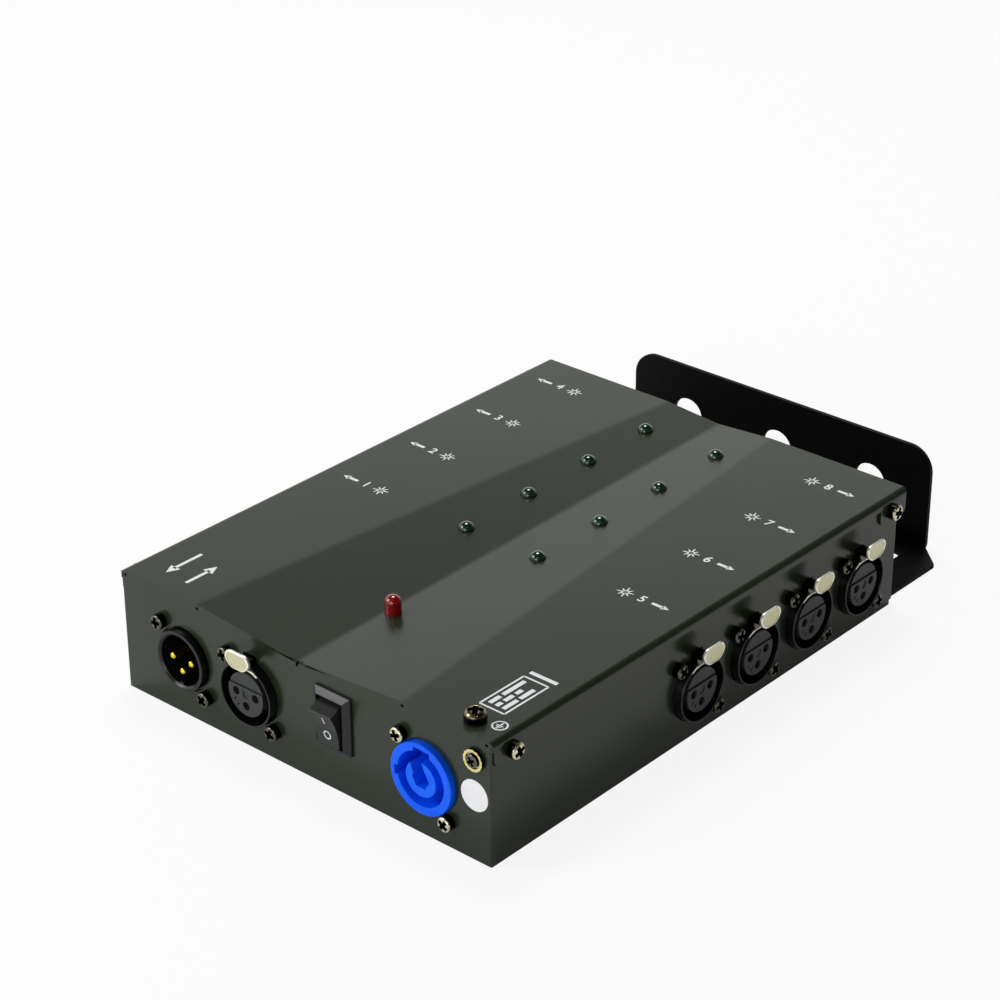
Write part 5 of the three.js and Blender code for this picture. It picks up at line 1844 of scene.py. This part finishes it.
# %% Field, earth sign and input arrows
FIELD = (62.5, 72.3, 14.7, 35.0)
FIELD_LINE = 0.7
BARS = (
    (64.7, ((0.1, 0.34), (0.4, 0.9))),
    (67.4, ((0.1, 0.22), (0.28, 0.48), (0.54, 0.68))),
    (70.1, ((0.1, 0.42), (0.48, 0.8))),
)
BAR_WIDE = 1.6
HEAD_BAR_UP = 3.0
HEAD_BAR_OVER = 1.0
EARTH_RIGHT = 7.8
EARTH_IN = 9.1
EARTH_RING = 2.35
EARTH_LINE = 0.55
EARTH_BAR_SHARE = 0.8
EARTH_STEM = 1.7
EARTH_BARS = (2.6, 1.7, 0.8)
EARTH_BAR_STEP = 0.75
LONG_ARROW = (14.0, 4.4, 1.3)
LONGER_ARROW = (16.0, 4.4, 1.3)
ARROW_UP_AT = (-57.5, 7.5)
ARROW_DOWN_AT = (-67.5, 24.0)


def field_shapes():
    x0, x1, y0, y1 = FIELD
    y0, y1 = front_y + y0, front_y + y1
    shapes = [
        stroke(x0, y0, x1, y0, FIELD_LINE),
        stroke(x1, y0, x1, y1, FIELD_LINE),
        stroke(x1, y1, x0, y1, FIELD_LINE),
        stroke(x0, y1, x0, y0, FIELD_LINE),
    ]
    for x, runs in BARS:
        for start, end in runs:
            shapes.append(stroke(x, y0 + (y1 - y0) * start, x, y0 + (y1 - y0) * end, BAR_WIDE))
    level = y1 + HEAD_BAR_UP
    shapes.append(stroke(x0, level, x1 + HEAD_BAR_OVER, level, BAR_WIDE))
    return shapes


def earth_shapes():
    x, y = middle("cover_screw", 0) + EARTH_RIGHT, front_y + EARTH_IN
    shapes = ring_strokes(EARTH_RING, EARTH_LINE, x, y)
    shapes.append(stroke(x, y + EARTH_STEM, x, y, EARTH_LINE))
    for k, width in enumerate(EARTH_BARS):
        level = y - EARTH_BAR_STEP * k
        shapes.append(stroke(x - width * HALF, level, x + width * HALF, level, EARTH_LINE * EARTH_BAR_SHARE))
    return shapes


print_marks("marks_field", field_shapes(), on_cover)
print_marks("marks_earth", earth_shapes(), on_cover)
arrows = turned(arrow(*LONG_ARROW), ARROW_UP_AT[0], front_y + ARROW_UP_AT[1], 90)
arrows += turned(arrow(*LONGER_ARROW), ARROW_DOWN_AT[0], front_y + ARROW_DOWN_AT[1], -90)
print_marks("marks_signal_arrows", arrows, on_cover)
print("field and signs ready")

# %% [markdown]
# ## Inside
# The two boards and the transformer hardly show, but light and lamps reach them through gaps, so
# they keep the mechanical model's shape and get their own finishes.

# %% Inside
for node, material in (
    ("main_board", board_lacquer),
    ("power_board", board_lacquer),
    ("transformer", coil_tape),
):
    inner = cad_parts[node]
    inner.data.materials.clear()
    inner.data.materials.append(material)
print("inside ready")

# %% [markdown]
# ## Light, floor and world
# The studio is a white sweep with a dark ceiling. Satin black is mostly reflection: the cover
# shows the bright sweep low behind it, and the two slopes of the trough, tilted by four degrees
# each way, look a little lower and a little higher, so one is light and the other dark. The
# world makes that with a soft step from 21 to 41 degrees above the horizon. The sweep fades
# towards the right: the bend along the cover's right edge looks to the dark side of the room and
# draws a black line. The key lamp is high up, a little behind the box, so that the floor close in
# front of the walls is shaded and they get darker towards the foot. Two soft lamps in front show
# the fittings and the slopes of the switch, and two small ones give glints. The floor keeps the
# shadow, and it is lifted towards white for the camera and a little for reflections and for
# light that comes through the lamps of the box.

# %% World
world = bpy.data.worlds.new("studio")
scene.world = world
world.use_nodes = True
sky = world.node_tree
sky.nodes.clear()
SWEEP_LOW = 0.36
SWEEP_HIGH = 0.66
CEILING = 0.10
BRIGHT_SIDE = -0.2
DARK_SIDE = 0.45
DARK_SHARE = 0.12
direction = add_node(sky, "ShaderNodeTexCoord").outputs["Generated"]
split = add_node(sky, "ShaderNodeSeparateXYZ", {"Vector": direction}).outputs
sweep = add_node(
    sky,
    "ShaderNodeMapRange",
    {"Value": split["Z"], "From Min": SWEEP_LOW, "From Max": SWEEP_HIGH, "To Max": CEILING, "To Min": 1.0},
    interpolation_type="SMOOTHSTEP",
)
side = add_node(
    sky,
    "ShaderNodeMapRange",
    {
        "Value": split["X"],
        "From Min": BRIGHT_SIDE,
        "From Max": DARK_SIDE,
        "To Min": 1.0,
        "To Max": DARK_SHARE,
    },
    interpolation_type="SMOOTHSTEP",
)
shade = add_node(
    sky,
    "ShaderNodeMath",
    {0: sweep.outputs["Result"], 1: side.outputs["Result"]},
    operation="MULTIPLY",
)
path = add_node(sky, "ShaderNodeLightPath")
room = add_node(
    sky,
    "ShaderNodeBackground",
    {"Color": linear("#ffffff"), "Strength": shade.outputs["Value"]},
)
white = add_node(sky, "ShaderNodeBackground", {"Color": linear("#ffffff"), "Strength": 1.0})
seen = add_node(
    sky,
    "ShaderNodeMixShader",
    {0: path.outputs["Is Camera Ray"], 1: room.outputs["Background"], 2: white.outputs["Background"]},
)
add_node(sky, "ShaderNodeOutputWorld", {"Surface": seen.outputs["Shader"]})
print("world ready")

# %% Lamps of the studio
# Where each lamp stands, its width and height, and its power: metres and watts
STUDIO_LAMPS = {
    "key_behind": ((-0.45, 0.42, 1.5), 0.5, 0.5, 12.0),
    "front_left": ((-0.92, -0.98, 0.9), 0.7, 0.7, 9.0),
    "front_fill": ((0.6, -1.8, 0.5), 1.2, 0.6, 7.0),
    "glint_front": ((0.5, -1.1, 1.3), 0.1, 0.1, 0.6),
    "glint_right": ((1.1, -0.7, 1.4), 0.1, 0.1, 0.6),
}


def softbox(name, at, wide, tall, power):
    light = bpy.data.lights.new(name, "AREA")
    light.shape = "RECTANGLE"
    light.size = wide
    light.size_y = tall
    light.energy = power
    holder = bpy.data.objects.new(name, light)
    scene.collection.objects.link(holder)
    holder.location = at
    holder.rotation_mode = "QUATERNION"
    holder.rotation_quaternion = (-Vector(at)).to_track_quat("-Z", "Y")
    return holder


for name, (at, wide, tall, power) in STUDIO_LAMPS.items():
    softbox(name, at, wide, tall, power)
print("lamps of the studio", len(STUDIO_LAMPS))

# %% Floor
FLOOR_HALF = 4000.0
FLOOR_DROP = 0.2
GLOW_SHARE = 0.88
GLOSSY_SHARE = 0.1
floor_outline = rectangle(-FLOOR_HALF, FLOOR_HALF, -FLOOR_HALF, FLOOR_HALF)
floor_mesh_data = mesh_from("floor", [(x, y, 0) for x, y in floor_outline], [(0, 1, 2, 3)])
floor = bpy.data.objects.new("floor", floor_mesh_data)
scene.collection.objects.link(floor)
floor.location.z = -FLOOR_DROP * MM
floor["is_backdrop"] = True
paper = bpy.data.materials.new("white_sweep_paper")
paper.use_nodes = True
tree = paper.node_tree
tree.nodes.clear()
path = add_node(tree, "ShaderNodeLightPath")
matt = add_node(tree, "ShaderNodeBsdfDiffuse", {"Color": linear("#f4f4f4")})
glow = add_node(tree, "ShaderNodeEmission", {"Color": linear("#ffffff"), "Strength": 1.0})
reflected = add_node(
    tree,
    "ShaderNodeMath",
    {0: path.outputs["Is Glossy Ray"], 1: path.outputs["Is Transmission Ray"]},
    operation="ADD",
)
glossy = add_node(
    tree,
    "ShaderNodeMath",
    {0: reflected.outputs["Value"], 1: GLOSSY_SHARE},
    operation="MULTIPLY",
)
share = add_node(
    tree,
    "ShaderNodeMath",
    {0: path.outputs["Is Camera Ray"], 1: GLOW_SHARE, 2: glossy.outputs["Value"]},
    operation="MULTIPLY_ADD",
)
mixed = add_node(
    tree,
    "ShaderNodeMixShader",
    {0: share.outputs["Value"], 1: matt.outputs["BSDF"], 2: glow.outputs["Emission"]},
)
add_node(tree, "ShaderNodeOutputMaterial", {"Surface": mixed.outputs["Shader"]})
floor_mesh_data.materials.append(paper)
scene.view_settings.view_transform = "Standard"
print("floor ready")

# %% [markdown]
# ## Measure and finish
# The dressed object must stay inside the mechanical model's box. The last lines print by how much the
# dressed object's box reaches past the mechanical model's box, low and high, in millimetres.

# %% Measure and finish
new_low, new_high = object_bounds()
for label, grew in (("low", cad_low - new_low), ("high", new_high - cad_high)):
    print("grew by mm", label, [round(v / MM, 3) for v in grew])
